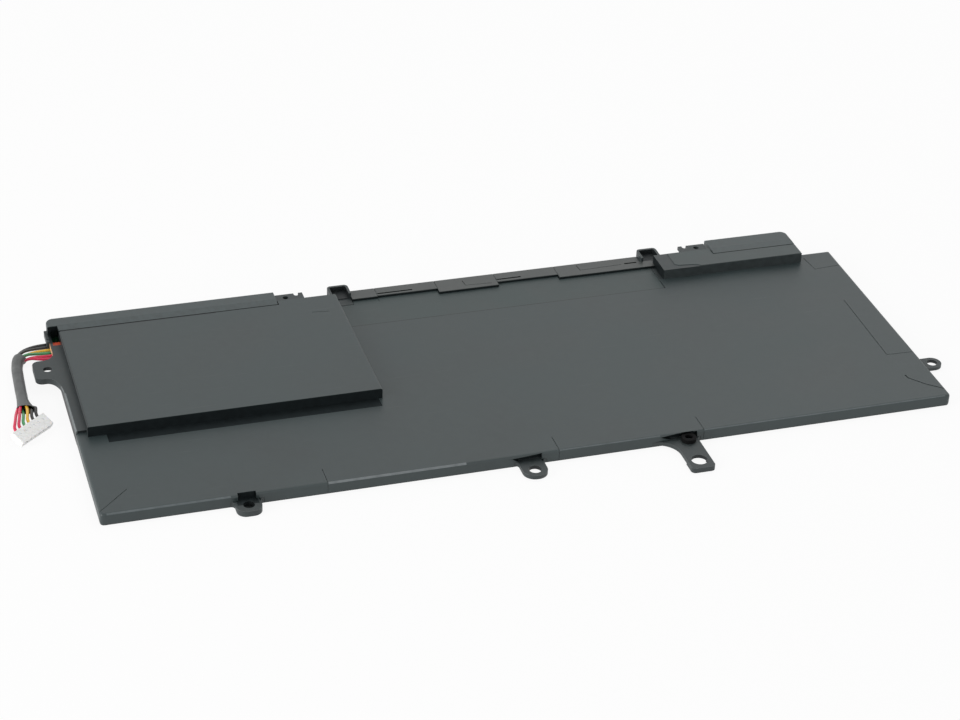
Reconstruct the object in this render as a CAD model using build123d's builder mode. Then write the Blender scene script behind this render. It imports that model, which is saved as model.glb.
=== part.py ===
from build123d import *

import os
from math import cos, radians, sin, tan

# Laptop battery: one moulded frame carries six pouch cells, a long protection board in its
# back channel, black films on both sides and a short six-wire lead at the left end.
# X runs along the pack to the right, Y from the front face to the back, Z up. The origin is
# the centre of the flat underside. Places in the plan are given as distances from the left
# side and from the front face of the pack, in millimetres.

os.makedirs("parts", exist_ok=True)

# Whole pack
pack_length = 275.0
pack_depth = 108.0
corner_depth = pack_depth - 11.4  # depth right of the block
tray_height = 4.0  # thin part, over the film
plateau_height = 7.6  # thick part, over the film
cover_height = 8.0
film = 0.15
edge_radius = 0.9  # bend of the film along the front edge
corner_radius = 1.3
skirt_bottom = 0.4
wall = 0.9
rib = 1.1
fit = 0.1  # clearance between a piece and its seat
rim_width = 1.5  # frame round the bottom film

# Thick part at the left and the strip beside it
strip_width = 3.3
strip_height = 4.9
strip_front = 44.3
strip_edge_radius = 0.5
plateau_front = 41.6
plateau_right = 96.5
plateau_back = pack_depth - 5.6
plateau_edge_radius = 0.6
plateau_film_inset = 0.4
window_front = 37.2  # bare black strip in front of the thick part
window_left = 9.0
window_inset = 1.0
bridge_bottom = 3.5

# Cells
cell_base = 0.25
cell_thickness = 3.2
upper_cell_thickness = 3.3
cell_adhesive_thickness = 0.2
adhesive_inset = 4.0
cell_gap = 0.35
terrace_depth = 3.0
terrace_inset = 3.0
terrace_thickness = 0.3
pouch_radius = 0.7
pouch_corner = 2.0
bay_front = 2.0
bay_corner = 1.0
left_bay_back = pack_depth - 11.0
upper_bay_back = pack_depth - 9.0
right_bay_back = pack_depth - 22.6
right_bay_left = 98.0
right_bay_right = pack_length - 2.1
left_cell_count = 2
right_cell_count = 3

# Tabs, nickel strips and board
tab_width = 4.0
tab_thickness = 0.1
tab_spread = 18.0  # between the two tabs of one cell
tab_overlap = 2.0  # how far a tab lies on its strip
link_width = 3.0
far_link_width = 1.8
link_thickness = 0.15
link_gap = 0.4
passage_height = 0.5
passage_clearance = 0.4
floor = 1.0
board_thickness = 0.6
board_clearance = 0.3
board_right = pack_length - 70.0
chip_leg = 0.4
gauge_chip_at = 48.0
gauge_chip_size = (5.0, 3.4, 1.0)
gauge_chip_legs = 7
transistor_places = (23.6, 29.4)
transistor_size = (4.4, 3.4, 0.9)
transistor_legs = 4
fuse_at = 10.5
fuse_size = (4.0, 3.0, 1.1)
resistor_at = 70.2
resistor_size = (6.3, 3.1, 0.6)
left_capacitors = (53.6, 88.5, 92.0, 101.0)
right_capacitors = (19.0, 45.0, 56.5, 60.0, 79.0)  # from the board's right end
capacitor_size = (1.6, 0.8, 0.8)
solder_length = 1.1
solder_height = 0.9
solder_width = 0.8
solder_edge = 0.25

# Back channel, recess over the links, ledge and cable cavity
channel_left = 0.8
channel_front = pack_depth - 7.0
channel_back = pack_depth - 1.0
channel_right = pack_length - 69.0
channel_roof = 3.3
recess_left = 97.0
recess_right = pack_length - 66.0
recess_front = pack_depth - 22.0
recess_back = pack_depth - 7.5
recess_height = 3.75
recess_rim = 0.7
gallery_depth = 4.6
gallery_right = pack_length - 13.0
ledge_right = pack_length - 64.0
ledge_height = 4.6
ledge_roof_front = pack_depth - 4.4  # where the open channel begins under the tapes
ledge_rib = 1.0
cavity_front = pack_depth - 12.2
cavity_back = pack_depth - 5.1
cavity_roof = 4.2
slot_front = pack_depth - 16.2
slot_back = pack_depth - 5.7
slot_bottom = 1.5
slot_top = 2.75
ledge_seams = (102.4, 111.3, 132.4, 153.6, 175.5, channel_right)
ledge_steps = (5.4, 5.0, 7.4, 5.4, 7.4)  # depth of the ledge behind each step of its front
# Ends of each slot in the tapes and its depth from the back
tape_slots = (
    (ledge_seams[1], ledge_seams[1] + 12.5, 3.4),
    (ledge_seams[3], ledge_seams[3] + 8.9, 3.6),
    (channel_right - 5.6, channel_right - 1.1, 3.4),
)
tape_slot_width = 0.7
tape_folds = (((142.0, 2.0), (142.3, 5.2), (151.7, 5.7)), ((183.6, 1.0), (184.0, 4.5), (199.2, 4.0)))
hood_reach = 0.9
hood_front = pack_depth - 9.6
hood_back = pack_depth - 2.4
tape_thickness = 0.1
tape_front = pack_depth - 16.0
tape_back = pack_depth - 9.8

# Covers and the block at the back right
cover_front = pack_depth - 7.8
cover_length = 76.2
cover_seat = 6.2
cover_shell = 1.0
cover_crown = 3.0  # depth of the slope along the front of a cover
cover_slope = 0.45
cover_edge = 0.6
cover_corner = 2.4
block_left = pack_length - 64.5
block_right = pack_length - 13.0
block_front = pack_depth - 16.0
block_back = pack_depth - 5.3
end_cover_left = pack_length - 43.5
end_cover_front = pack_depth - 9.0
core_wall = 1.2
core_roof = 1.3
core_count = 3

# Hooks and drilled tabs along the back
hook_width = 7.2
hook_front = pack_depth - 3.6
hook_back = pack_depth + 2.4
hook_bottom = 3.0
hook_floor = 4.2
hook_top = 6.0
hook_wall = 0.8
hook_corner = 1.4
left_hook = 98.8
right_hook = pack_length - 64.7
drilled_tab_length = 9.6
drilled_tab_depth = 3.8
drilled_tab_thickness = 1.2
drilled_tab_top = 7.5
tab_hole_radius = 1.0
tab_hole_at = 3.5  # along the tab from its cover
tab_hole_reach = 1.6
tab_notch_radius = 0.8
tab_notch_at = 7.4

# Ears: place along the side, reach of the hole and of the tip, and the ear round the hole
left_ear_at = pack_depth - 26.1
left_ear_hole_reach = 3.1
left_ear_reach = 7.5
left_ear_width = 11.0
left_ear_thickness = 2.0
left_ear_plate = 1.0  # thin plate round the hole
left_ear_pocket = 2.6  # radius of the hollow under the hole
left_ear_hole = 1.45
left_ear_tip = 2.2
left_ear_root = 4.0
pocket_ear_at = 43.9
pocket_ear_hole_reach = 2.6
pocket_ear_reach = 6.0
pocket_ear_tip = 2.9
pocket_ear_width = 7.8
pocket_ear_thickness = 1.9
pocket_ear_hole = 1.75
pocket_ear_floor = 0.4
ring_ear_at = 132.6
ring_ear_hole_reach = 4.8
ring_ear_reach = 8.4
ring_ear_tip = 3.7
ring_ear_width = 7.9
ring_ear_bottom = 0.2
ring_ear_thickness = 1.3
ring_ear_hole = 2.0
long_ear_at = 183.5
long_ear_hole_reach = 12.3
long_ear_reach = 16.8
long_ear_width = 7.8
long_ear_thickness = 1.7
long_ear_hole = 2.6
long_ear_foot = 5.2
long_ear_lift = 0.5
long_ear_tip = 1.4
long_ear_root = 7.0  # left of the ear
right_ear_at = 23.2
right_ear_hole_reach = 4.9
right_ear_width = 6.2
right_ear_bottom = 0.3
right_ear_thickness = 1.1
right_ear_hole = 1.75
ear_root = 1.2
ear_clearance = 0.15
notch_depth = 1.2
notch_width = 5.6
ring_notch = (-6.1, 3.6)  # left and right ends of the cut-out over the ring ear, from the ear
ring_notch_rise = (2.96, 3.7)
long_notch = (-8.6, -5.3, -2.7)  # where the top of the long ear's cut-out rises, from the ear
long_notch_rise = (3.2, 3.55, 3.75)
long_notch_foot = -4.5

# Ring at the root of the long ear
grommet_at = 184.1
grommet_reach = 1.3
grommet_radius = 2.4
grommet_height = 1.4
grommet_hole = 1.2
grommet_edge = 0.3

# Cuts in the top film
cut_width = 0.2
open_cut_width = 0.4
front_cuts = (68.6, 141.8, 189.6)
front_cut_depth = 7.5
left_corner_cut = ((10.0, 11.4), (1.4, 2.8), (-1.0, 1.0))
plateau_film_cut = ((86.1, pack_depth - 15.4), (91.8, pack_depth - 16.1))
# Distances from the right end and from the front face
right_corner_cut = ((9.5, 14.6), (9.2, 12.6), (5.3, 7.9), (-1.0, 2.6))
side_flap_cut = ((9.1, 63.8), (9.9, 27.6), (0.4, 27.3))
# Distances from the right end and from the front of the block
back_flap_cut = ((11.0, 2.2), (10.2, -5.8), (0.8, -5.1))

# Grooves along the covers
seam_width = 0.35
seam_depth = 0.9
recess_gap = 0.3  # open line along the front of the recess film

# Film on the block, from the block's left side and front
block_film_left = 5.0
block_film_corner = ((0.0, 3.0), (1.1, 2.1), (7.0, 1.4), (9.0, 0.1))
block_film_back = 0.2

# Lead: six wires, a sleeve and a plug
wire_names = ("wire_red_a", "wire_red_b", "wire_green", "wire_yellow", "wire_black_a", "wire_black_b")
wire_places = (180, 240, 120, 300, 60, 0)  # where each wire runs round the bundle, in degrees
wire_diameter = 1.0
wire_start = 1.9
wire_row = pack_depth - 11.0
wire_pitch = 1.8
wire_height = 2.1
wire_ring = 1.1  # from the middle of the bundle to each wire's
wire_gather = 1.15  # the same where the row becomes a bundle
arc_share = 0.45  # part of the shorter run that an arc of the lead takes
sleeve_bore = 3.3
sleeve_wall = 0.15
sleeve_mouth = 4.9
plug_length = 14.2
plug_depth = 4.6
plug_thickness = 2.4
plug_edge = 0.4
plug_pitch = 2.0
plug_turn = 40.5
plug_tilt = 28.0
plug_corner_left = -16.8
plug_drop = 50.3  # from the wire row forward to the plug's rear corner
plug_corner_front = wire_row - plug_drop
wire_seat = 1.5  # depth of a wire in the plug
wire_lead = 0.9  # straight stretch outside the plug
plug_bore = 1.2
plug_slot_width = 1.1
plug_slot_height = 0.55
plug_slot_rise = 0.35
contact_width = 0.9
contact_height = 0.35
contact_end_gap = 0.6
window_size = 0.7
window_depth = 0.25
window_reach = 1.7

# Heights and places that follow
rim_top = tray_height - film
plateau_top = plateau_height - film
ledge_top = ledge_height - film
recess_top = recess_height - film
board_top = floor + board_thickness
link_top = board_top + link_thickness
lower_cell_top = cell_base + cell_thickness
upper_cell_base = lower_cell_top + cell_adhesive_thickness
gallery_front = recess_front + recess_rim
gallery_back = gallery_front + gallery_depth
upper_bay_front = plateau_front + rib
upper_bay_left = strip_width + wall
upper_bay_width = plateau_right - wall - upper_bay_left
ring_ear_top = ring_ear_bottom + ring_ear_thickness
wire_count = len(wire_names)


def from_left(distance):
    return distance - pack_length / 2


def from_front(distance):
    return distance - pack_depth / 2


def plan(x, y):
    return (from_left(x), from_front(y))


def spot(x, y, z):
    """A point by its distances from the left side, the front face and the underside."""
    return Vector(from_left(x), from_front(y), z)


def zone(x_low, x_high, y_low, y_high):
    """A rectangle between distances from the left side and from the front face."""
    with Locations(plan((x_low + x_high) / 2, (y_low + y_high) / 2)):
        Rectangle(x_high - x_low, y_high - y_low)


def line_cut(points, width=cut_width):
    """A cut along a line of the plan."""
    with BuildSketch() as cut:
        with BuildLine():
            Polyline(*(plan(x, y) for x, y in points))
        trace(line_width=width)
    return cut.sketch


def beside(points, side_x, side_y):
    """Points of the plan that are given from a side at the right and from a side at the front."""
    return [(side_x - x, side_y + y) for x, y in points]


def ledge_stretches():
    """Left end, right end and front of each stretch of the ledge."""
    fronts = [pack_depth - step for step in ledge_steps]
    return list(zip(ledge_seams, ledge_seams[1:-1] + (block_left,), fronts))


def cover_seams():
    """Plan of the grooves along the front and the inner end of each cover."""
    with BuildSketch(Plane.XY.offset(plateau_top - seam_depth)) as seams:
        zone(strip_width, cover_length + seam_width, cover_front - seam_width, cover_front)
        zone(cover_length, cover_length + seam_width, cover_front, plateau_back)
        zone(end_cover_left - seam_width, block_right, end_cover_front - seam_width, end_cover_front)
        zone(end_cover_left - seam_width, end_cover_left, end_cover_front, block_back)
    return seams.sketch


def round_back_corners(outline):
    """Round corners behind the two covers."""
    for corner in (spot(0, pack_depth, 0), spot(block_right, pack_depth, 0)):
        fillet(outline.vertices().sort_by_distance(corner)[0], cover_corner)


def pack_outline(inset=0.0):
    """Plan of the tray, stepped along the back, or the same drawn in by an inset."""
    with BuildSketch() as outline:
        with BuildLine():
            Polyline(
                plan(film, film),
                plan(pack_length - film, film),
                plan(pack_length - film, corner_depth),
                plan(block_right, corner_depth),
                plan(block_right, pack_depth),
                plan(end_cover_left, pack_depth),
                plan(end_cover_left, block_back),
                plan(ledge_right, block_back),
                plan(ledge_right, pack_depth),
                plan(film, pack_depth),
                close=True,
            )
        make_face()
        if inset:
            offset(amount=-inset, kind=Kind.INTERSECTION, mode=Mode.REPLACE)
        else:
            fillet(outline.vertices().group_by(Axis.Y)[0], corner_radius - film)
            round_back_corners(outline)
    return outline.sketch


def outward_plane(origin, outward):
    """A level plane whose Y points out of a side of the pack."""
    return Plane(origin=origin, x_dir=Vector(*outward).cross(Vector(0, 0, 1)), z_dir=(0, 0, 1))


def front_plane(at, height):
    return outward_plane(spot(at, film, height), (0, -1, 0))


def ear_shape(root, reach, width, tip_radius, near_root, far_root):
    """Plan of an ear that stands out of a side, with round corners at its tip and its two roots."""
    with BuildSketch(root) as shape:
        with Locations((0, reach / 2)):
            Rectangle(width, reach)
        fillet(shape.vertices().group_by(Axis.Y)[-1], tip_radius)
        with Locations(((far_root - near_root) / 2, -wall / 2)):
            Rectangle(width + near_root + far_root + wall, wall)
        corners = shape.vertices().filter_by_position(Axis.Y, -fit, fit)
        near, far = sorted(corners.sort_by(lambda corner: abs(corner.X))[0:2], key=lambda corner: corner.X)
        fillet(far, far_root)
        fillet(near, near_root)
    return shape.sketch


def bay_places(left, right, count):
    """Left sides of equal bays with ribs between them, and the width of one bay."""
    width = (right - left - (count - 1) * rib) / count
    return [left + i * (width + rib) for i in range(count)], width


left_bays, left_bay_width = bay_places(upper_bay_left, plateau_right - wall, left_cell_count)
right_bays, right_bay_width = bay_places(right_bay_left, right_bay_right, right_cell_count)


def tab_places(bay_left, bay_width):
    middle = bay_left + bay_width / 2
    return [middle - tab_spread / 2, middle + tab_spread / 2]


left_tabs = [x for left in left_bays for x in tab_places(left, left_bay_width)]
upper_tabs = tab_places(upper_bay_left, upper_bay_width)
near_tabs = [x for left in right_bays[:-1] for x in tab_places(left, right_bay_width)]
far_tabs = tab_places(right_bays[-1], right_bay_width)
# The far cell's two strips run along the gallery and turn back beside each other
far_rows = (gallery_front + link_gap + far_link_width / 2, gallery_back - link_gap - far_link_width / 2)
far_turns = (board_right - 2.5 * far_link_width - link_gap, board_right - far_link_width / 2 - link_gap)
upper_tab_height = upper_cell_base + upper_cell_thickness / 2
core_width = (block_right - end_cover_left - (core_count + 1) * core_wall) / core_count
core_places = [end_cover_left + core_wall + i * (core_width + core_wall) for i in range(core_count)]

def bay(left, width, front, back):
    """A cell bay with round corners."""
    with Locations(plan(left + width / 2, (front + back) / 2)):
        RectangleRounded(width, back - front, bay_corner)


def passage(x, width, front, back):
    """A way through a wall for a tab or a strip."""
    side = width / 2 + passage_clearance
    zone(x - side, x + side, front - fit, back + fit)


# Cut-outs in the front face, used for the frame and for the film over it
with BuildPart() as front_notches:
    front_sheet = Plane.XZ.offset(pack_depth / 2 + edge_radius)
    with BuildSketch(front_sheet):
        with BuildLine():
            Polyline(
                (from_left(ring_ear_at + ring_notch[0]), ring_notch_rise[0]),
                (from_left(ring_ear_at + ring_notch[1]), ring_notch_rise[1]),
                (from_left(ring_ear_at + ring_notch[1]), ring_ear_top),
                (from_left(ring_ear_at - ring_notch[1]), ring_ear_top),
                close=True,
            )
        make_face()
        with BuildLine():
            Polyline(
                *((from_left(long_ear_at + x), z) for x, z in zip(long_notch, long_notch_rise)),
                (from_left(long_ear_at + long_ear_width / 2), long_notch_rise[-1]),
                (from_left(long_ear_at + long_ear_width / 2), long_ear_thickness),
                (from_left(long_ear_at + long_notch_foot), long_ear_thickness),
                close=True,
            )
        make_face()
    extrude(amount=-edge_radius - film - notch_depth)
    with BuildSketch(front_sheet):
        with Locations((from_left(pocket_ear_at), (pocket_ear_thickness + cover_height) / 2)):
            Rectangle(notch_width, cover_height - pocket_ear_thickness)
    extrude(amount=-edge_radius - film - notch_depth)

# Tray: the thin part of the frame, and the inside of the top film
with BuildPart() as tray:
    add(pack_outline())
    extrude(amount=rim_top)
    tray_rim = tray.edges().group_by(Axis.Z)[-1]
    front_rim = tray_rim.filter_by(Axis.X).sort_by(Axis.Y)[0]
    right_rim = tray_rim.filter_by(Axis.Y).sort_by(Axis.X)[-1]
    corner_rim = tray_rim.filter_by(GeomType.CIRCLE).sort_by(Axis.X)[-1]
    fillet([front_rim, corner_rim, right_rim], edge_radius - film)

# Plateau: the thick part of the frame, and the inside of its film
with BuildPart() as plateau:
    with BuildSketch():
        zone(strip_width, plateau_right, plateau_front, cover_front)
        zone(cover_length, plateau_right, cover_front, plateau_back)
    extrude(amount=plateau_top)
    plateau_edge = plateau.edges().filter_by(Axis.Y).group_by(Axis.Z)[-1].sort_by(Axis.X)[-1]
    fillet(plateau_edge, plateau_edge_radius)

# Frame
with BuildPart() as frame:
    add(tray.part)
    add(plateau.part)

    # Strip, hood over the wires, seats of the covers, ledge and block
    with BuildSketch():
        zone(0, strip_width + fit, strip_front, cavity_back)
    extrude(amount=strip_height)
    with BuildSketch() as seats:
        zone(strip_width, cover_length, cover_front, pack_depth)
        zone(0, strip_width, cavity_back, pack_depth)
        zone(end_cover_left, block_right, end_cover_front, pack_depth)
        round_back_corners(seats)
    extrude(amount=cover_seat)
    with BuildSketch(Plane.XY.offset(slot_top)):
        zone(-hood_reach, 0, hood_front, hood_back)
    extrude(amount=strip_height - slot_top)
    with BuildSketch():
        for left, right, front in ledge_stretches():
            zone(left, right, front, pack_depth)
        zone(block_left, ledge_right, block_back, pack_depth)
    extrude(amount=ledge_top)
    with BuildSketch():
        zone(block_left, end_cover_left, block_front, block_back)
        zone(end_cover_left, block_right, block_front, end_cover_front)
    extrude(amount=plateau_top)

    # Hooks behind the back edge
    with BuildSketch(Plane.XY.offset(hook_bottom)) as hooks:
        for at in (left_hook, right_hook):
            zone(at - hook_width / 2, at + hook_width / 2, hook_front, hook_back)
        fillet(hooks.vertices().group_by(Axis.Y)[-1], hook_corner)
    extrude(amount=hook_top - hook_bottom)
    with BuildSketch(Plane.XY.offset(hook_floor)) as hook_hollows:
        for at in (left_hook, right_hook):
            side = hook_width / 2 - hook_wall
            zone(at - side, at + side, hook_front, hook_back - hook_wall)
        fillet(hook_hollows.vertices().group_by(Axis.Y)[-1], hook_corner - hook_wall)
    extrude(amount=hook_top, mode=Mode.SUBTRACT)

    # Drilled tabs beside the covers
    with BuildSketch(Plane.XY.offset(drilled_tab_top - drilled_tab_thickness)):
        for end, back, way in ((cover_length, plateau_back, 1), (end_cover_left - ledge_rib, block_back, -1)):
            tip = end + way * drilled_tab_length
            zone(min(end, tip), max(end, tip), back, back + drilled_tab_depth)
    extrude(amount=drilled_tab_thickness)
    with BuildSketch(Plane.XY.offset(cover_seat)):
        for end, back, way in ((cover_length, plateau_back, 1), (end_cover_left - ledge_rib, block_back, -1)):
            with Locations(plan(end + way * tab_hole_at, back + tab_hole_reach)):
                Circle(tab_hole_radius)
            with Locations(plan(end + way * tab_notch_at, back + drilled_tab_depth)):
                SlotOverall(4 * tab_notch_radius, 2 * tab_notch_radius, rotation=90)
    extrude(amount=cover_height, mode=Mode.SUBTRACT)

    # Left ear, level with the strip
    left_root = outward_plane(spot(0, left_ear_at, strip_height), (-1, 0, 0))
    add(ear_shape(left_root, left_ear_reach, left_ear_width, left_ear_tip, left_ear_root, left_ear_root))
    extrude(amount=-left_ear_thickness)
    with BuildSketch(left_root):
        with Locations((0, left_ear_hole_reach)):
            Circle(left_ear_hole)
    extrude(amount=-left_ear_thickness, mode=Mode.SUBTRACT)
    with BuildSketch(left_root.offset(-left_ear_thickness)):
        with Locations((0, left_ear_hole_reach)):
            Circle(left_ear_pocket)
    extrude(amount=left_ear_thickness - left_ear_plate, mode=Mode.SUBTRACT)

    # Ear with a blind hole, ear with a round hole and the long ear, along the front
    pocket_root = front_plane(pocket_ear_at, 0)
    add(ear_shape(pocket_root, pocket_ear_reach, pocket_ear_width, pocket_ear_tip, ear_root, ear_root))
    extrude(amount=pocket_ear_thickness)
    with BuildSketch(pocket_root.offset(pocket_ear_floor)):
        with Locations((0, pocket_ear_hole_reach)):
            Circle(pocket_ear_hole)
    extrude(amount=pocket_ear_thickness, mode=Mode.SUBTRACT)
    ring_root = front_plane(ring_ear_at, ring_ear_bottom)
    add(ear_shape(ring_root, ring_ear_reach, ring_ear_width, ring_ear_tip, ear_root, ear_root))
    extrude(amount=ring_ear_thickness)
    with BuildSketch(ring_root):
        with Locations((0, ring_ear_hole_reach)):
            Circle(ring_ear_hole)
    extrude(amount=ring_ear_thickness, mode=Mode.SUBTRACT)
    long_root = front_plane(long_ear_at, 0)
    add(ear_shape(long_root, long_ear_reach, long_ear_width, long_ear_tip, ear_root, long_ear_root))
    extrude(amount=long_ear_thickness)
    with BuildSketch(long_root):
        with Locations((0, long_ear_hole_reach)):
            Circle(long_ear_hole)
    extrude(amount=long_ear_thickness, mode=Mode.SUBTRACT)
    with BuildSketch(long_root):
        with Locations((0, (long_ear_reach - long_ear_foot) / 2)):
            Rectangle(2 * (long_ear_width + long_ear_root), long_ear_reach - long_ear_foot)
    extrude(amount=long_ear_lift, mode=Mode.SUBTRACT)

    # Ring ear at the right side
    right_root = outward_plane(spot(pack_length - film, right_ear_at, right_ear_bottom), (1, 0, 0))
    with BuildSketch(right_root):
        with Locations((0, (right_ear_hole_reach - wall) / 2)):
            Rectangle(right_ear_width, right_ear_hole_reach + wall)
        with Locations((0, right_ear_hole_reach)):
            Circle(right_ear_width / 2)
            Circle(right_ear_hole, mode=Mode.SUBTRACT)
    extrude(amount=right_ear_thickness)

    # Cut-outs above the front ears, and the bore that takes the ring
    add(front_notches.part, mode=Mode.SUBTRACT)
    with BuildSketch(front_plane(grommet_at, long_ear_thickness)):
        with Locations((0, grommet_reach)):
            Circle(grommet_radius + ear_clearance)
    extrude(amount=rim_top - long_ear_thickness, mode=Mode.SUBTRACT)

    # Seat of the bottom film and the cell bays
    add(pack_outline(rim_width))
    extrude(amount=film, mode=Mode.SUBTRACT)
    with BuildSketch():
        for left in left_bays:
            bay(left, left_bay_width, bay_front, left_bay_back)
    extrude(amount=bridge_bottom, mode=Mode.SUBTRACT)
    with BuildSketch(Plane.XY.offset(bridge_bottom)):
        for left in left_bays:
            zone(left, left + left_bay_width, bay_front, window_front)
    extrude(amount=tray_height, mode=Mode.SUBTRACT)
    with BuildSketch(Plane.XY.offset(bridge_bottom)):
        bay(upper_bay_left, upper_bay_width, upper_bay_front, upper_bay_back)
    extrude(amount=plateau_height, mode=Mode.SUBTRACT)
    with BuildSketch():
        for left in right_bays:
            bay(left, right_bay_width, bay_front, right_bay_back)
    extrude(amount=tray_height, mode=Mode.SUBTRACT)

    # Back channel for the board, with a lip and cross ribs under the ledge
    with BuildSketch(Plane.XY.offset(floor)):
        zone(channel_left, channel_right, channel_front, channel_back)
    extrude(amount=channel_roof - floor, mode=Mode.SUBTRACT)
    with BuildSketch(Plane.XY.offset(floor)):
        zone(channel_left, cover_length - wall, channel_front, channel_back)
    extrude(amount=cover_height, mode=Mode.SUBTRACT)
    with BuildSketch(Plane.XY.offset(floor)):
        for left, right in zip(ledge_seams, ledge_seams[1:]):
            zone(left + ledge_rib / 2, right - ledge_rib / 2, ledge_roof_front, channel_back)
    extrude(amount=cover_height, mode=Mode.SUBTRACT)

    # Cable cavity in the strip and the slot through its side
    with BuildSketch(Plane.XY.offset(floor)):
        zone(channel_left, strip_width, slot_front, channel_front)
    extrude(amount=cavity_roof - floor, mode=Mode.SUBTRACT)
    with BuildSketch(Plane.XY.offset(floor)):
        zone(channel_left, strip_width, cavity_front, cavity_back)
    extrude(amount=cover_height, mode=Mode.SUBTRACT)
    with BuildSketch(Plane.XY.offset(slot_bottom)):
        zone(-wall, channel_left, slot_front, slot_back)
    extrude(amount=slot_top - slot_bottom, mode=Mode.SUBTRACT)

    # Recess over the links, its film seat, the gallery and the passages for tabs and links
    with BuildSketch(Plane.XY.offset(recess_top)):
        zone(recess_left, recess_right, recess_front, recess_back)
        for left, right, front in ledge_stretches():
            zone(left, min(right, recess_right), recess_front, front)
    extrude(amount=ledge_top - recess_top, mode=Mode.SUBTRACT)
    with BuildSketch(Plane.XY.offset(board_top)):
        zone(recess_left + recess_rim, recess_right - recess_rim, gallery_front, recess_back - recess_rim)
    extrude(amount=recess_top - board_top, mode=Mode.SUBTRACT)
    with BuildSketch(Plane.XY.offset(board_top)):
        zone(recess_right - recess_rim - fit, gallery_right, gallery_front, gallery_back)
    extrude(amount=rim_top - board_top, mode=Mode.SUBTRACT)
    with BuildSketch(Plane.XY.offset(board_top)):
        for x in near_tabs + far_tabs:
            passage(x, tab_width, right_bay_back, gallery_front)
        for x in left_tabs:
            passage(x, tab_width, left_bay_back, channel_front)
        for x in near_tabs:
            passage(x, link_width, recess_back - recess_rim, channel_front)
        for x in far_turns:
            passage(x, far_link_width, recess_back - recess_rim, channel_front)
    extrude(amount=passage_height, mode=Mode.SUBTRACT)
    with BuildSketch(Plane.XY.offset(upper_tab_height - passage_height / 2)):
        for x in upper_tabs:
            passage(x, tab_width, upper_bay_back, channel_front)
    extrude(amount=passage_height, mode=Mode.SUBTRACT)

    # Cores of the block, open below
    with BuildSketch(Plane.XY.offset(film)):
        zone(
            block_left + core_wall,
            end_cover_left - core_wall,
            block_front + core_wall,
            block_back - core_wall,
        )
        for left in core_places:
            zone(left, left + core_width, block_front + core_wall, end_cover_front - core_wall)
    extrude(amount=plateau_top - core_roof - film, mode=Mode.SUBTRACT)
    with BuildSketch(Plane.XY.offset(film)):
        for left in core_places:
            zone(left, left + core_width, end_cover_front, pack_depth - core_wall)
    extrude(amount=cover_seat - core_roof - film, mode=Mode.SUBTRACT)

    # Grooves along the covers, and the round edge of the strip
    extrude(cover_seams(), amount=seam_depth, mode=Mode.SUBTRACT)
    level_edges = frame.edges().filter_by(Axis.Y)
    level_edges = level_edges.filter_by_position(Axis.Z, strip_height - fit, strip_height + fit)
    side_edges = level_edges.filter_by_position(Axis.X, from_left(-fit), from_left(fit))
    fillet(side_edges.sort_by(Axis.Y)[0], strip_edge_radius)

frame.part.label = "frame"
export_step(frame.part, "parts/frame.step")

# Top film: folded down the front and the right side, cut round the ears
with BuildPart() as top_film:
    with BuildSketch(Plane.XY.offset(skirt_bottom)) as film_plan:
        zone(0, pack_length, 0, window_front)
        zone(0, window_left, window_front, plateau_front)
        zone(0, strip_width, plateau_front, strip_front)
        zone(plateau_right - window_inset, pack_length, window_front, plateau_front)
        zone(plateau_right, pack_length, plateau_front, recess_front)
        zone(recess_right, pack_length, recess_front, block_front)
        zone(block_right, pack_length, block_front, corner_depth)
        fillet(film_plan.vertices().group_by(Axis.Y)[0], corner_radius)
    extrude(amount=tray_height - skirt_bottom)
    film_rim = top_film.edges().group_by(Axis.Z)[-1]
    fillet([film_rim.filter_by(Axis.X).sort_by(Axis.Y)[0], film_rim.filter_by(Axis.Y).sort_by(Axis.X)[-1],
            film_rim.filter_by(GeomType.CIRCLE).sort_by(Axis.X)[-1]], edge_radius)
    add(tray.part, mode=Mode.SUBTRACT)
    add(front_notches.part, mode=Mode.SUBTRACT)
    for at, width, right_root_size, left_root_size, top in (
        (pocket_ear_at, pocket_ear_width, ear_root, ear_root, pocket_ear_thickness),
        (ring_ear_at, ring_ear_width, ear_root, ear_root, ring_ear_top),
        (long_ear_at, long_ear_width, ear_root, long_ear_root, long_ear_thickness),
    ):
        with BuildSketch(front_plane(at, 0)):
            with Locations(((left_root_size - right_root_size) / 2, 0)):
                Rectangle(width + right_root_size + left_root_size + 2 * ear_clearance, 2 * edge_radius)
        extrude(amount=top + ear_clearance, mode=Mode.SUBTRACT)
    with BuildSketch(right_root):
        Rectangle(right_ear_width + 2 * ear_clearance, 2 * edge_radius)
    extrude(amount=right_ear_thickness + ear_clearance, both=True, mode=Mode.SUBTRACT)
    with BuildSketch(front_plane(grommet_at, long_ear_thickness)):
        with Locations((0, grommet_reach)):
            Circle(grommet_radius + ear_clearance)
    extrude(amount=rim_top - long_ear_thickness, mode=Mode.SUBTRACT)
    for cut in (
        *(line_cut(((at, -wall), (at, front_cut_depth))) for at in front_cuts),
        line_cut(left_corner_cut),
        line_cut(beside(right_corner_cut, pack_length, 0), open_cut_width),
        line_cut(beside(side_flap_cut, pack_length, 0)),
        line_cut(beside(back_flap_cut, pack_length, block_front)),
    ):
        extrude(cut, amount=cover_height, mode=Mode.SUBTRACT)
top_film.part.label = "top_film"
export_step(top_film.part, "parts/top_film.step")

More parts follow.
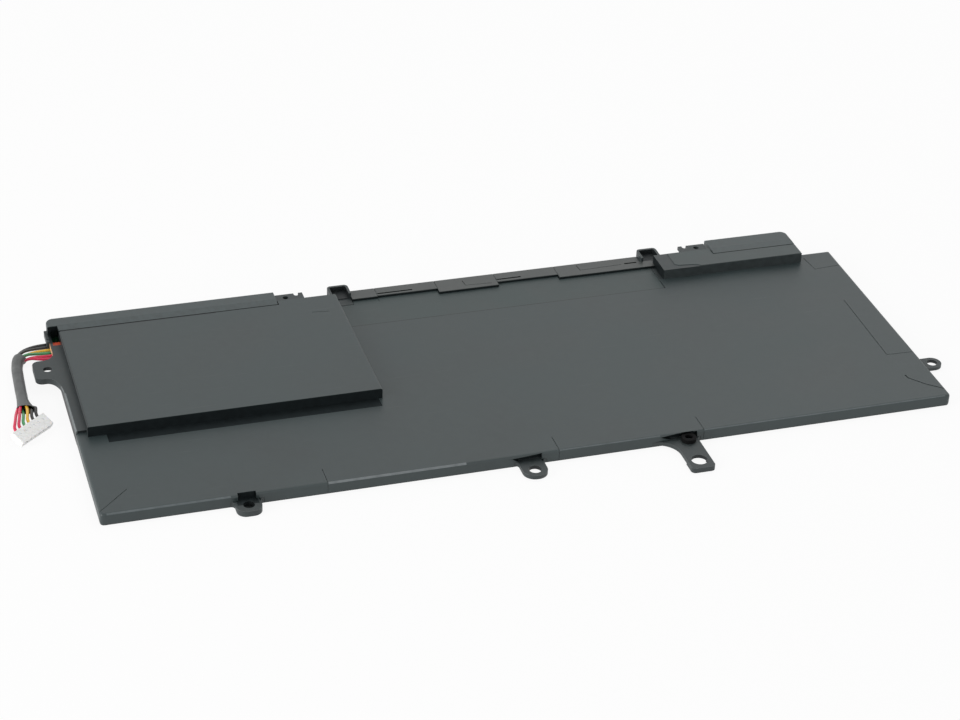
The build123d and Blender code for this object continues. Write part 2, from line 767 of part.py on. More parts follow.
# Film over the thick part, folded down its right side
with BuildPart() as plateau_film:
    with BuildSketch(Plane.XY.offset(tray_height)):
        zone(strip_width + plateau_film_inset, plateau_right + film, plateau_front, cover_front)
        zone(cover_length, plateau_right + film, cover_front, plateau_back)
    extrude(amount=plateau_height - tray_height)
    film_edge = plateau_film.edges().filter_by(Axis.Y).group_by(Axis.Z)[-1].sort_by(Axis.X)[-1]
    fillet(film_edge, plateau_edge_radius + film)
    add(plateau.part, mode=Mode.SUBTRACT)
    extrude(line_cut(plateau_film_cut), amount=cover_height, mode=Mode.SUBTRACT)
    extrude(cover_seams(), amount=cover_height, mode=Mode.SUBTRACT)
plateau_film.part.label = "plateau_film"
export_step(plateau_film.part, "parts/plateau_film.step")

# Film over the recess
with BuildPart() as recess_film:
    with BuildSketch(Plane.XY.offset(recess_top)):
        zone(recess_left + fit, recess_right - fit, recess_front + recess_gap, recess_back - fit)
        for left, right, front in ledge_stretches():
            zone(left + fit, min(right, recess_right) - fit, recess_front + recess_gap, front - fit)
    extrude(amount=film)
recess_film.part.label = "recess_film"
export_step(recess_film.part, "parts/recess_film.step")

# Tapes over the ledge, with slots over the channel and the cuts of folded flaps
with BuildPart() as ledge_tapes:
    with BuildSketch(Plane.XY.offset(ledge_top)):
        for left, right, front in ledge_stretches():
            zone(left + fit, right - fit, front, pack_depth)
    extrude(amount=film)
    with BuildSketch(Plane.XY.offset(ledge_top)):
        zone(channel_right, block_left, hook_front - fit, hook_back)
        for left, right, depth in tape_slots:
            zone(left, right, pack_depth - depth - tape_slot_width, pack_depth - depth)
    extrude(amount=film, mode=Mode.SUBTRACT)
    for fold in tape_folds:
        cut = line_cut([(x, pack_depth - depth) for x, depth in fold])
        extrude(cut, amount=cover_height, mode=Mode.SUBTRACT)
ledge_tapes.part.label = "ledge_tapes"
export_step(ledge_tapes.part, "parts/ledge_tapes.step")

# Film on the block, with its cut front corner
film_left = block_left + block_film_left
with BuildPart() as block_film:
    with BuildSketch(Plane.XY.offset(plateau_top)):
        with BuildLine():
            Polyline(
                plan(film_left, block_back - block_film_back),
                *(plan(film_left + x, block_front + y) for x, y in block_film_corner),
                plan(block_right - fit, block_front + fit),
                plan(block_right - fit, end_cover_front - fit),
                plan(end_cover_left - fit, end_cover_front - fit),
                plan(end_cover_left - fit, block_back - block_film_back),
                close=True,
            )
        make_face()
    extrude(amount=film)
    extrude(cover_seams(), amount=cover_height, mode=Mode.SUBTRACT)
block_film.part.label = "block_film"
export_step(block_film.part, "parts/block_film.step")


def crown_section(front, left):
    """Section of what is cut away for the slope along the front of a cover."""
    with BuildSketch(Plane.YZ.offset(from_left(left))) as section_plan:
        with BuildLine():
            Polyline(
                (from_front(front), cover_height),
                (from_front(front + cover_crown), cover_height),
                (from_front(front), cover_height - cover_slope),
                close=True,
            )
        make_face()
    return section_plan.sketch


# Cover of the board's left end, with a notch over the cable cavity
with BuildPart() as board_cover:
    with BuildSketch(Plane.XY.offset(cover_seat)) as cover_plan:
        zone(strip_width, cover_length, cover_front, pack_depth)
        zone(0, strip_width, cavity_back, pack_depth)
        fillet(cover_plan.vertices().sort_by_distance(spot(0, pack_depth, 0))[0], cover_corner)
    extrude(amount=cover_height - cover_seat)
    top_rim = board_cover.edges().group_by(Axis.Z)[-1]
    fillet([top_rim.filter_by(Axis.X).sort_by(Axis.Y)[-1], top_rim.filter_by(GeomType.CIRCLE)[0],
            top_rim.filter_by(Axis.Y).sort_by(Axis.X)[0]], cover_edge)
    extrude(crown_section(cover_front, 0), amount=cover_length, mode=Mode.SUBTRACT)
    with BuildSketch(Plane.XY.offset(cover_seat)):
        zone(strip_width + wall, cover_length - wall, channel_front, channel_back)
    extrude(amount=cover_height - cover_seat - cover_shell, mode=Mode.SUBTRACT)
board_cover.part.label = "board_cover"
export_step(board_cover.part, "parts/board_cover.step")

# Cover of the right end
with BuildPart() as end_cover:
    with BuildSketch(Plane.XY.offset(cover_seat)) as cover_plan:
        zone(end_cover_left, block_right, end_cover_front, pack_depth)
        fillet(cover_plan.vertices().sort_by_distance(spot(block_right, pack_depth, 0))[0], cover_corner)
    extrude(amount=cover_height - cover_seat)
    top_rim = end_cover.edges().group_by(Axis.Z)[-1]
    fillet([top_rim.filter_by(Axis.X).sort_by(Axis.Y)[-1], top_rim.filter_by(GeomType.CIRCLE)[0],
            top_rim.filter_by(Axis.Y).sort_by(Axis.X)[-1]], cover_edge)
    extrude(crown_section(end_cover_front, end_cover_left), amount=block_right - end_cover_left,
            mode=Mode.SUBTRACT)
    with BuildSketch(Plane.XY.offset(cover_seat)):
        for left in core_places:
            zone(left, left + core_width, end_cover_front + core_wall, pack_depth - core_wall)
    extrude(amount=cover_height - cover_seat - cover_shell, mode=Mode.SUBTRACT)
end_cover.part.label = "end_cover"
export_step(end_cover.part, "parts/end_cover.step")

# Rubber ring that stands on the long ear
with BuildPart() as ear_grommet:
    with BuildSketch(front_plane(grommet_at, long_ear_thickness)):
        with Locations((0, grommet_reach)):
            Circle(grommet_radius)
            Circle(grommet_hole, mode=Mode.SUBTRACT)
    extrude(amount=grommet_height)
    fillet(ear_grommet.edges().group_by(Axis.Z)[-1], grommet_edge)
ear_grommet.part.label = "ear_grommet"
export_step(ear_grommet.part, "parts/ear_grommet.step")


def make_cell(name, left, width, front, back, base, thickness):
    """One pouch cell: a cushion-edged body with its thin sealed terrace behind it."""
    middle = left + width / 2
    body_width = width - 2 * cell_gap
    body_front = front + cell_gap
    body_back = back - fit - terrace_depth
    with BuildPart() as cell:
        with BuildSketch(Plane.XY.offset(base)):
            with Locations(plan(middle, (body_front + body_back) / 2)):
                RectangleRounded(body_width, body_back - body_front, pouch_corner)
        extrude(amount=thickness)
        levels = cell.faces().sort_by(Axis.Z)
        fillet(levels[-1].edges() + levels[0].edges(), pouch_radius)
        with BuildSketch(Plane.XY.offset(base + (thickness - terrace_thickness) / 2)):
            side = body_width / 2 - terrace_inset
            zone(middle - side, middle + side, body_back - pouch_radius, back - fit)
        extrude(amount=terrace_thickness)
    cell.part.label = name
    export_step(cell.part, "parts/" + name + ".step")


for name, left in zip(("cell_left_a", "cell_left_b"), left_bays):
    make_cell(name, left, left_bay_width, bay_front, left_bay_back, cell_base, cell_thickness)
for name, left in zip(("cell_right_a", "cell_right_b", "cell_right_c"), right_bays):
    make_cell(name, left, right_bay_width, bay_front, right_bay_back, cell_base, cell_thickness)
make_cell("cell_upper", upper_bay_left, upper_bay_width, upper_bay_front, upper_bay_back,
          upper_cell_base, upper_cell_thickness)


def flat_tab(x, front, back):
    zone(x - tab_width / 2, x + tab_width / 2, front, back)


def flat_tabs(side):
    """Plans of one pole's flat tabs: side is 0 for the left tab of each cell and 1 for the right."""
    with BuildSketch(Plane.XY.offset(link_top)) as tabs:
        for x in left_tabs[side::2]:
            flat_tab(x, left_bay_back - fit, channel_front + board_clearance + tab_overlap)
        for x in near_tabs[side::2]:
            flat_tab(x, right_bay_back - fit, gallery_front + tab_overlap)
        flat_tab(far_tabs[side], right_bay_back - fit, far_rows[side] + far_link_width / 2)
    return tabs.sketch


def bent_tab(side):
    """Section of the upper cell's tab, which steps down to the board."""
    with BuildSketch(Plane.YZ.offset(from_left(upper_tabs[side] - tab_width / 2))) as tab:
        with BuildLine():
            Polyline(
                (from_front(upper_bay_back - fit), upper_tab_height),
                (from_front(channel_front + board_clearance + tab_overlap / 2), upper_tab_height),
                (from_front(channel_front + board_clearance + tab_overlap / 2), link_top + tab_thickness / 2),
                (from_front(channel_front + board_clearance + 2 * tab_overlap), link_top + tab_thickness / 2),
            )
        trace(line_width=tab_thickness)
    return tab.sketch


with BuildPart() as cell_tabs_plus:
    extrude(flat_tabs(0), amount=tab_thickness)
    extrude(bent_tab(0), amount=tab_width)
cell_tabs_plus.part.label = "cell_tabs_plus"
export_step(cell_tabs_plus.part, "parts/cell_tabs_plus.step")
with BuildPart() as cell_tabs_minus:
    extrude(flat_tabs(1), amount=tab_thickness)
    extrude(bent_tab(1), amount=tab_width)
cell_tabs_minus.part.label = "cell_tabs_minus"
export_step(cell_tabs_minus.part, "parts/cell_tabs_minus.step")

# Nickel strips from the tabs to the board
with BuildPart() as link_strips:
    with BuildSketch(Plane.XY.offset(board_top)):
        link_front = channel_front + board_clearance
        for x in left_tabs:
            zone(x - link_width / 2, x + link_width / 2, link_front, link_front + tab_overlap)
        for x in upper_tabs:
            zone(
                x - link_width / 2,
                x + link_width / 2,
                link_front + tab_overlap / 2,
                link_front + 2 * tab_overlap,
            )
        for x in near_tabs:
            zone(x - link_width / 2, x + link_width / 2, gallery_front, link_front + tab_overlap)
        for tab, row, turn in zip(far_tabs, far_rows, far_turns):
            side = far_link_width / 2
            zone(turn - side, tab + tab_width / 2, row - side, row + side)
            zone(turn - side, turn + side, row - side, link_front + tab_overlap)
    extrude(amount=link_thickness)
link_strips.part.label = "link_strips"
export_step(link_strips.part, "parts/link_strips.step")

# Protection board, with a tongue under the ends of the wires
board_edge = channel_back - board_clearance
board_middle = (channel_front + channel_back) / 2
tongue_left = channel_left + fit
with BuildPart() as protection_board:
    with BuildSketch(Plane.XY.offset(floor)):
        zone(tongue_left, board_right, channel_front + board_clearance, board_edge)
        zone(tongue_left, strip_width - fit, slot_front + fit, channel_front + board_clearance)
    extrude(amount=board_thickness)
protection_board.part.label = "protection_board"
export_step(protection_board.part, "parts/protection_board.step")


def chip(x, size):
    """A component on the middle line of the board."""
    with Locations(spot(x, board_middle, board_top + size[2] / 2)):
        Box(*size)


def leaded_chip(x, size, leg_count):
    """A moulded component with legs along its front and back."""
    chip(x, size)
    length, width, height = size
    for way in (-1, 1):
        leg_place = spot(x, board_middle + way * (width / 2 + chip_leg / 2), board_top + chip_leg / 2)
        with Locations(leg_place):
            with GridLocations(length / leg_count, 1, leg_count, 1):
                Box(chip_leg, chip_leg, chip_leg)


with BuildPart() as gauge_chip:
    leaded_chip(gauge_chip_at, gauge_chip_size, gauge_chip_legs)
gauge_chip.part.label = "gauge_chip"
export_step(gauge_chip.part, "parts/gauge_chip.step")
with BuildPart() as power_transistors:
    for x in transistor_places:
        leaded_chip(x, transistor_size, transistor_legs)
power_transistors.part.label = "power_transistors"
export_step(power_transistors.part, "parts/power_transistors.step")
with BuildPart() as board_fuse:
    chip(fuse_at, fuse_size)
board_fuse.part.label = "board_fuse"
export_step(board_fuse.part, "parts/board_fuse.step")
with BuildPart() as sense_resistor:
    chip(resistor_at, resistor_size)
sense_resistor.part.label = "sense_resistor"
export_step(sense_resistor.part, "parts/sense_resistor.step")
with BuildPart() as capacitors:
    for x in left_capacitors:
        chip(x, capacitor_size)
    for distance in right_capacitors:
        chip(board_right - distance, capacitor_size)
capacitors.part.label = "capacitors"
export_step(capacitors.part, "parts/capacitors.step")

# Solder where the wires end on the board
with BuildPart() as solder_joints:
    with Locations(spot(wire_start + solder_length / 2, wire_row, board_top + solder_height / 2)):
        with GridLocations(1, wire_pitch, 1, wire_count):
            Box(solder_length, solder_width, solder_height)
    fillet(solder_joints.edges().group_by(Axis.Z)[-1], solder_edge)
solder_joints.part.label = "solder_joints"
export_step(solder_joints.part, "parts/solder_joints.step")

# Adhesive under the cells and between the lower cells and the upper cell
with BuildPart() as cell_adhesive:
    with BuildSketch(Plane.XY.offset(film)):
        for left in left_bays:
            zone(left + adhesive_inset, left + left_bay_width - adhesive_inset,
                 bay_front + adhesive_inset, left_bay_back - 2 * adhesive_inset)
        for left in right_bays:
            zone(left + adhesive_inset, left + right_bay_width - adhesive_inset,
                 bay_front + adhesive_inset, right_bay_back - 2 * adhesive_inset)
    extrude(amount=cell_base - film)
    with BuildSketch(Plane.XY.offset(lower_cell_top)):
        for left in left_bays:
            zone(left + adhesive_inset, left + left_bay_width - adhesive_inset,
                 upper_bay_front + adhesive_inset, left_bay_back - 2 * adhesive_inset)
    extrude(amount=cell_adhesive_thickness)
cell_adhesive.part.label = "cell_adhesive"
export_step(cell_adhesive.part, "parts/cell_adhesive.step")

# Film under the pack
with BuildPart() as bottom_film:
    add(pack_outline(rim_width + fit))
    extrude(amount=film)
bottom_film.part.label = "bottom_film"
export_step(bottom_film.part, "parts/bottom_film.step")

# Insulating tape over the wire slot and over the mouth of the cavity
with BuildPart() as insulating_tape:
    with BuildSketch(Plane.XY.offset(slot_top)):
        zone(-tape_thickness, 0, tape_front, tape_back)
    extrude(amount=strip_height - strip_edge_radius - slot_top)
    with BuildSketch(Plane.XY.offset(strip_height - strip_edge_radius)):
        zone(channel_left, strip_width, cavity_front, tape_back)
    extrude(amount=tape_thickness)
insulating_tape.part.label = "insulating_tape"
export_step(insulating_tape.part, "parts/insulating_tape.step")

# Plug: its own plane lies in the face that the wires enter, with Y back along the wires
turn = radians(plug_turn)
tilt = radians(plug_tilt)
plug_across = Vector(cos(turn), sin(turn), 0)
plug_forward = Vector(sin(turn) * cos(tilt), -cos(turn) * cos(tilt), -sin(tilt))
plug_up = Vector(sin(turn) * sin(tilt), -cos(turn) * sin(tilt), cos(tilt))
plug_corner = spot(plug_corner_left, plug_corner_front, 0)
wire_face_middle = (plug_corner + plug_across * (plug_length / 2) - plug_forward * plug_depth
                    + plug_up * (plug_thickness / 2))
wire_face = Plane(origin=wire_face_middle, x_dir=plug_across, z_dir=-plug_forward)
mating_middle = wire_face_middle + plug_forward * plug_depth
mating_face = Plane(origin=mating_middle, x_dir=plug_across, z_dir=plug_forward)
top_face = Plane(origin=wire_face_middle + plug_up * (plug_thickness / 2), x_dir=plug_across, z_dir=plug_up)

with BuildPart() as plug_housing:
    with BuildSketch(mating_face):
        RectangleRounded(plug_length, plug_thickness, plug_edge)
    extrude(amount=-plug_depth)
    with BuildSketch(mating_face):
        with Locations((0, plug_slot_rise)):
            with GridLocations(plug_pitch, 1, wire_count, 1):
                Rectangle(plug_slot_width, plug_slot_height)
    extrude(amount=wire_seat - plug_depth, mode=Mode.SUBTRACT)
    with BuildSketch(wire_face):
        with GridLocations(plug_pitch, 1, wire_count, 1):
            Circle(plug_bore / 2)
    extrude(amount=-wire_seat, mode=Mode.SUBTRACT)
    with BuildSketch(top_face):
        with Locations((0, -window_reach)):
            with GridLocations(plug_pitch, 1, wire_count, 1):
                Rectangle(window_size, window_size)
    extrude(amount=-window_depth, mode=Mode.SUBTRACT)
plug_housing.part.label = "plug_housing"
export_step(plug_housing.part, "parts/plug_housing.step")

# Contacts in the plug, one at the end of each wire
with BuildPart() as plug_contacts:
    with BuildSketch(mating_face.offset(-contact_end_gap)):
        with Locations((0, plug_slot_rise)):
            with GridLocations(plug_pitch, 1, wire_count, 1):
                Rectangle(contact_width, contact_height)
    extrude(amount=wire_seat + contact_end_gap - plug_depth)
plug_contacts.part.label = "plug_contacts"
export_step(plug_contacts.part, "parts/plug_contacts.step")

# Stations of the lead: place of its middle from the left side and in front of the wire row, its
# height, direction of its row in the plan, pitch of the row, radius of the bundle and its roll
lead_stations = (
    (wire_start, 0, wire_height, 90, wire_pitch, 0, 0),
    (-2.2, 0, wire_height, 90, wire_pitch, 0, 0),
    (-5.4, 0.2, 2.3, 98, 1.45, 0.2, 0),
    (-8.2, 1.0, 2.5, 118, 0.8, 0.7, 0),
    (-11.0, 3.6, 2.4, 148, 0, wire_gather, 0),
    (-12.0, 7.6, 2.0, 170, 0, wire_ring, 36),
    (-12.3, 12.2, 1.92, 175, 0, wire_ring, 72),
    (-12.5, 17.2, 1.9, 176, 0, wire_ring, 108),
    (-12.7, 23.0, 1.92, 177, 0, wire_ring, 144),
    (-12.9, 28.6, 2.0, 181, 0, wire_ring, 180),
    (-13.0, 32.4, 2.5, 192, -0.6, 0.8, 180),
    (-13.1, 35.4, 3.2, 206, -1.25, 0.4, 180),
    (-13.3, 38.0, 3.9, 220.5, -1.9, 0, 180),
)
mouth_station = 3
gather_station = 4
sleeve_station = 5
end_station = 9
mouth_share = 0.75  # how far the sleeve's mouth is from the mouth station to the next one
loft_share = 0.6
flare_share = 0.8
flare_width = 5.6
flare_height = 3.4
flare_shift = 0.4
flare_row = 186.0


def row_way(row):
    return Vector(cos(radians(row)), sin(radians(row)), 0)


def wire_points(lane):
    """One wire's points: a lane of the row that is rolled into a round bundle and fanned out."""
    side = lane - (wire_count - 1) / 2
    points = []
    for x, ahead, z, row, pitch, ring, roll in lead_stations:
        place = radians(wire_places[lane] + roll)
        sideways = row_way(row) * (side * pitch + ring * cos(place))
        points.append(spot(x, wire_row - ahead, z) + sideways + Vector(0, 0, ring * sin(place)))
    entry = wire_face_middle + plug_across * side * plug_pitch
    points.append(entry - plug_forward * wire_lead)
    points.append(entry + plug_forward * wire_seat)
    return points


def lead_path(points):
    """Straight runs joined by arcs as large as the runs allow, and the radii of the arcs."""
    runs = [after - before for before, after in zip(points, points[1:])]
    radii = []
    for before, after in zip(runs, runs[1:]):
        half_turn = radians(before.get_angle(after) / 2)
        radii.append(arc_share * min(before.length, after.length) / tan(half_turn))
    with BuildLine() as route:
        FilletPolyline(*points, radius=radii)
    return route.wire(), radii


for lane, name in enumerate(wire_names):
    route, radii = lead_path(wire_points(lane))
    with BuildPart() as wire:
        with BuildSketch(Plane(origin=route @ 0, z_dir=route % 0)):
            Circle(wire_diameter / 2)
        sweep(path=route)
    wire.part.label = name
    export_step(wire.part, "parts/" + name + ".step")
    print(name, "length", round(route.length, 2), "radii", [round(radius, 1) for radius in radii])

# Sleeve round the bundle, with a wide mouth where the wires gather and a flared lower end
middles = [spot(x, wire_row - ahead, z) for x, ahead, z, row, pitch, ring, roll in lead_stations]
tube_radius = sleeve_bore / 2 + sleeve_wall


def between(first, second, share):
    return first * (1 - share) + second * share


gather_way = (middles[gather_station] - middles[mouth_station]).normalized()
tube_way = (middles[sleeve_station] - middles[gather_station]).normalized()
mouth_sections = (
    (between(middles[mouth_station], middles[gather_station], mouth_share), gather_way, sleeve_mouth / 2),
    (middles[gather_station], (gather_way + tube_way).normalized(), sleeve_mouth / 2 - sleeve_wall),
    (between(middles[gather_station], middles[sleeve_station], loft_share), tube_way, tube_radius),
)
tube_points = [mouth_sections[-1][0]] + middles[sleeve_station:end_station + 1]
end_way = (middles[end_station + 1] - middles[end_station]).normalized()
flare_middle = between(middles[end_station], middles[end_station + 1], flare_share)
flare_middle -= row_way(flare_row) * flare_shift
tube_route, tube_radii = lead_path(tube_points)
tube_bends = [round(radius, 1) for radius in tube_radii]
print("lead_sleeve", "length", round(tube_route.length, 2), "radii", tube_bends)


def ring_at(middle, way, width, height, row=0.0):
    """A round or oval section across the lead."""
    with BuildSketch(Plane(origin=middle, x_dir=row_way(row), z_dir=way)) as ring:
        Ellipse(width / 2, height / 2)
    return ring.sketch


with BuildPart() as lead_sleeve:
    for inset, mode in ((0, Mode.ADD), (sleeve_wall, Mode.SUBTRACT)):
        bore = 2 * (tube_radius - inset)
        rings = []
        for middle, way, radius in mouth_sections:
            width = 2 * (radius - inset)
            rings.append(ring_at(middle, way, width, width))
        loft(rings, mode=mode)
        sweep(ring_at(tube_route @ 0, tube_route % 0, bore, bore), path=tube_route, mode=mode)
        upper = ring_at(tube_route @ 1, end_way, bore, bore, flare_row)
        lower_width = flare_width - 2 * inset
        lower_height = flare_height - 2 * inset
        lower = ring_at(flare_middle, end_way, lower_width, lower_height, flare_row)
        loft([upper, lower], mode=mode)
lead_sleeve.part.label = "lead_sleeve"
export_step(lead_sleeve.part, "parts/lead_sleeve.step")
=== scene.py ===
"""Dresses the battery pack: wires and sleeve of the lead, finishes of every part, stage and camera."""

from math import cos, pi, radians, sin

import bmesh
import bpy
from mathutils import Matrix, Vector


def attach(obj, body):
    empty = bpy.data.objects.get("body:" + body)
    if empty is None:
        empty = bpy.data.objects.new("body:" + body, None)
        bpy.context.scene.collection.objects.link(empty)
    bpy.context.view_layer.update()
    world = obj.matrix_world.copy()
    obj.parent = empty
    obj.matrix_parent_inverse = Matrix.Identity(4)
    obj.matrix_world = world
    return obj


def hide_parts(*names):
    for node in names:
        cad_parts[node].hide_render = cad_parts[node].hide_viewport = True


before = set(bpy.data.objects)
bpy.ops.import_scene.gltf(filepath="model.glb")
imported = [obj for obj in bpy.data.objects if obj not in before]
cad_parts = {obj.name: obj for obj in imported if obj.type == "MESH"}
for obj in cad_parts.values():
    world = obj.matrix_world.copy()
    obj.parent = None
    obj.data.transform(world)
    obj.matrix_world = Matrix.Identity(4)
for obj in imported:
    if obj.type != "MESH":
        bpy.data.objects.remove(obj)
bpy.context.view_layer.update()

bl_info = {
    "name": "Battery Pack Dresser",
    "version": (1, 0, 0),
    "blender": (4, 5, 0),
    "location": "View3D > Sidebar > Battery",
    "description": "Gives a laptop battery pack its wires, sleeve, finishes and studio",
    "category": "Object",
}

MM = 0.001
PACK_CORNER = Vector((-137.5, -54.0, 0.0))  # left end of the front face, in millimetres


def tint(red, green, blue):
    """A colour written as it shows on a screen, 0 to 255, as Blender's linear values."""
    shares = [value / 255 for value in (red, green, blue)]
    return [share / 12.92 if share <= 0.04045 else ((share + 0.055) / 1.055) ** 2.4 for share in shares]


def spot(x, y, z):
    """A point from millimetres right of the left side, behind the front face and up, in metres."""
    return (PACK_CORNER + Vector((x, y, z))) * MM


def scaled(colour, share):
    """A darker or paler colour."""
    return [min(1.0, channel * share) for channel in colour]


# Colours of the painted highlights on the film where it is folded over the front edge, strong and faint, and
# of the painted highlight along the left side
FOLD_HIGHLIGHT = tint(112, 118, 120)
FAINT_FOLD_HIGHLIGHT = tint(90, 98, 100)
SIDE_HIGHLIGHT = tint(106, 112, 113)

# Boxes of other finish, painted highlights and painted shade among them, as left, right, front, back, bottom
# and top in millimetres from the corner
# Painted highlight where the film is folded over the front edge
FOLD_HIGHLIGHT_BOXES = ((68.8, 112.0, -0.5, 0.55, 3.4, 4.1),)
# Fainter painted highlights where the film is folded over the front edge
FAINT_FOLD_HIGHLIGHT_BOXES = (
    (2.0, 39.0, -0.5, 0.5, 3.5, 4.1),
    (142.0, 175.0, -0.5, 0.4, 3.6, 4.1),
    (189.8, 273.0, -0.5, 0.4, 3.6, 4.1),
)
FLOOR_BOXES = ((3.25, 96.55, 37.1, 41.7),)
# Painted shade in seams, in the ears' notches and pockets, in the cavities at the left end, under the ledge
# and on the block's left wall
NOTCH_AND_SEAM_SHADE_BOXES = (
    (-1.0, 76.6, 99.7, 100.25),
    (76.15, 76.6, 99.8, 102.5),
    (231.0, 262.1, 98.6, 99.05),
    (231.0, 231.55, 98.6, 102.8),
    (97.0, 209.1, 85.9, 86.4),
    (102.3, 210.4, 99.8, 104.6, 3.0, 4.38),
    (38.5, 49.5, 0.2, 1.6, 1.95, 4.1),
    (126.0, 137.0, 0.2, 1.6, 1.55, 4.1),
    (174.5, 188.0, 0.2, 1.6, 1.75, 4.1),
    (-1.0, 3.35, 95.0, 103.0, 4.95, 7.9),
    (0.0, 3.4, 97.2, 103.2, 2.0, 4.95),
    (210.4, 210.6, 91.5, 103.0, 3.7, 7.4),
    (40.6, 47.2, -2.2, 1.6, 1.5, 4.1),
)
# Painted shade on upright walls, on the lower half of the left side, inside the hooks and inside the holes of
# the ears
SHADED_WALL_BOXES = (
    (3.2, 3.6, 41.7, 101.0, 4.95, 7.35),
    (-0.5, 3.25, 41.0, 44.4, 4.1, 4.85),
    (-0.5, 0.3, 0.5, 98.0, -1.0, 2.3),
    (95.9, 101.7, 104.3, 109.6, 4.1, 5.9),
    (207.4, 213.2, 104.3, 109.6, 4.1, 5.9),
    (180.8, 186.2, -14.9, -9.4, 0.05, 1.66),
    (130.5, 134.7, -6.8, -2.5, 0.25, 1.46),
    (-4.7, -1.5, 80.3, 83.5, 2.95, 4.86),
    (277.9, 281.6, 21.3, 25.1, 0.35, 1.36),
    (42.0, 45.8, -4.4, -0.5, 0.05, 1.86),
)
# Painted highlight along the upper edge of the left side, on the strip and on the front part
SIDE_HIGHLIGHT_BOXES = ((-0.5, 0.45, 42.0, 75.0, 4.05, 4.88), (-0.5, 0.2, 1.5, 41.0, 3.3, 3.84))
# Painted shade at the covers' seams and at the left cover's end
COVER_SHADE_BOXES = (
    (-1.0, 77.0, 100.0, 100.32, 3.0, 7.85),
    (231.0, 262.1, 98.9, 99.1, 3.0, 7.75),
    (-1.0, 3.42, 99.9, 103.0, 3.0, 7.72),
)
# Painted shade line along the seam between the film and the left cover
FILM_SEAM_SHADE_BOXES = ((3.4, 55.0, 99.45, 99.95, 7.3, 7.7),)
# Painted shade line along the recess's front edge
RECESS_SHADE_BOXES = ((97.0, 209.1, 86.2, 86.8),)
SHEET_BOXES = ((-1.0, 0.2, 91.0, 99.0),)

# Webs at the roots of the ears: corner in the plan, reach along the side and along the ear, how far
# the web goes into the side and the ear, and its heights
ROOT_WEBS = (
    ("left_ear_web", (0.0, 76.4), (0.0, -9.6), (-4.2, 0.0), (0.9, 0.9), (2.9, 4.885)),
    ("pocket_ear_web", (47.8, 0.15), (1.2, 0.0), (0.0, -1.2), (-0.3, 0.1), (0.0, 1.9)),
    ("ring_ear_web", (136.55, 0.15), (1.2, 0.0), (0.0, -1.2), (-0.3, 0.1), (0.2, 1.5)),
    ("long_ear_web", (187.4, 0.15), (1.2, 0.0), (0.0, -1.2), (-0.3, 0.1), (0.0, 1.7)),
)
WEB_STEPS = 14


# Settings


class LeadSettings(bpy.types.PropertyGroup):
    """Sizes and colours of the six wires and their sleeve."""

    wire_diameter: bpy.props.FloatProperty(
        name="Wire Diameter", description="Outside diameter of each wire", default=0.001, unit="LENGTH")
    sleeve_radius: bpy.props.FloatProperty(
        name="Sleeve Radius", description="Outside radius of the sleeve", default=0.0018, unit="LENGTH")
    sleeve_mouth: bpy.props.FloatProperty(
        name="Sleeve Mouth", description="Outside radius of its upper end", default=0.0021, unit="LENGTH")
    sleeve_wall: bpy.props.FloatProperty(
        name="Sleeve Wall", description="Thickness of the sleeve", default=0.00015, unit="LENGTH")
    crease_depth: bpy.props.FloatProperty(
        name="Crease Depth", description="How far the sleeve's soft creases go in", default=0.00009,
        unit="LENGTH")
    red: bpy.props.FloatVectorProperty(
        name="Red", description="Insulation of the two positive wires", default=tint(214, 34, 78),
        subtype="COLOR")
    green: bpy.props.FloatVectorProperty(
        name="Green", description="Insulation of the green wire", default=tint(66, 148, 92), subtype="COLOR")
    yellow: bpy.props.FloatVectorProperty(
        name="Yellow", description="Insulation of the yellow wire", default=tint(236, 186, 58),
        subtype="COLOR")
    black: bpy.props.FloatVectorProperty(
        name="Black", description="Insulation of the two negative wires", default=tint(30, 28, 27),
        subtype="COLOR")
    sleeve: bpy.props.FloatVectorProperty(
        name="Sleeve", description="Colour of the sleeve", default=tint(86, 88, 88), subtype="COLOR")


class ShellSettings(bpy.types.PropertyGroup):
    """Colours of the films, mouldings and tapes that show."""

    film: bpy.props.FloatVectorProperty(
        name="Film", description="Polyester film over the pack", default=tint(48, 58, 59), subtype="COLOR")
    recess_film: bpy.props.FloatVectorProperty(
        name="Recess Film", description="Film over the recess", default=tint(50, 61, 61), subtype="COLOR")
    ledge_tape: bpy.props.FloatVectorProperty(
        name="Ledge Tape", description="Tapes over the ledge", default=tint(66, 70, 69), subtype="COLOR")
    moulding: bpy.props.FloatVectorProperty(
        name="Moulding", description="Moulded frame", default=tint(46, 53, 54), subtype="COLOR")
    # Colour of the bare black strip, and of the painted shade in seams, notches, cavities and under the ledge
    bare_floor_and_shade: bpy.props.FloatVectorProperty(
        name="Bare Floor", description="Black strip in front of the thick part, and dark seams",
        default=tint(23, 31, 33), subtype="COLOR")
    shaded_wall: bpy.props.FloatVectorProperty(
        name="Shaded Wall", description="Upright walls of the frame", default=tint(26, 31, 33),
        subtype="COLOR")
    cover: bpy.props.FloatVectorProperty(
        name="Cover", description="Covers over the board's ends", default=tint(61, 70, 71), subtype="COLOR")
    worn_edge: bpy.props.FloatVectorProperty(
        name="Worn Edge", description="Where edges have been rubbed", default=tint(120, 126, 126),
        subtype="COLOR")
    rubber: bpy.props.FloatVectorProperty(
        name="Rubber", description="Ring on the long ear", default=tint(15, 15, 16), subtype="COLOR")
    tape: bpy.props.FloatVectorProperty(
        name="Tape", description="Amber insulating tape", default=tint(196, 62, 16), subtype="COLOR")
    plug: bpy.props.FloatVectorProperty(
        name="Plug", description="White nylon of the plug", default=tint(250, 250, 247), subtype="COLOR")
    grain_size: bpy.props.FloatProperty(
        name="Grain Size", description="Grain of the mouldings", default=0.00022, unit="LENGTH", precision=5)
    ripple_length: bpy.props.FloatProperty(
        name="Ripple Length", description="Length of the slow waves in the film", default=0.03, unit="LENGTH")


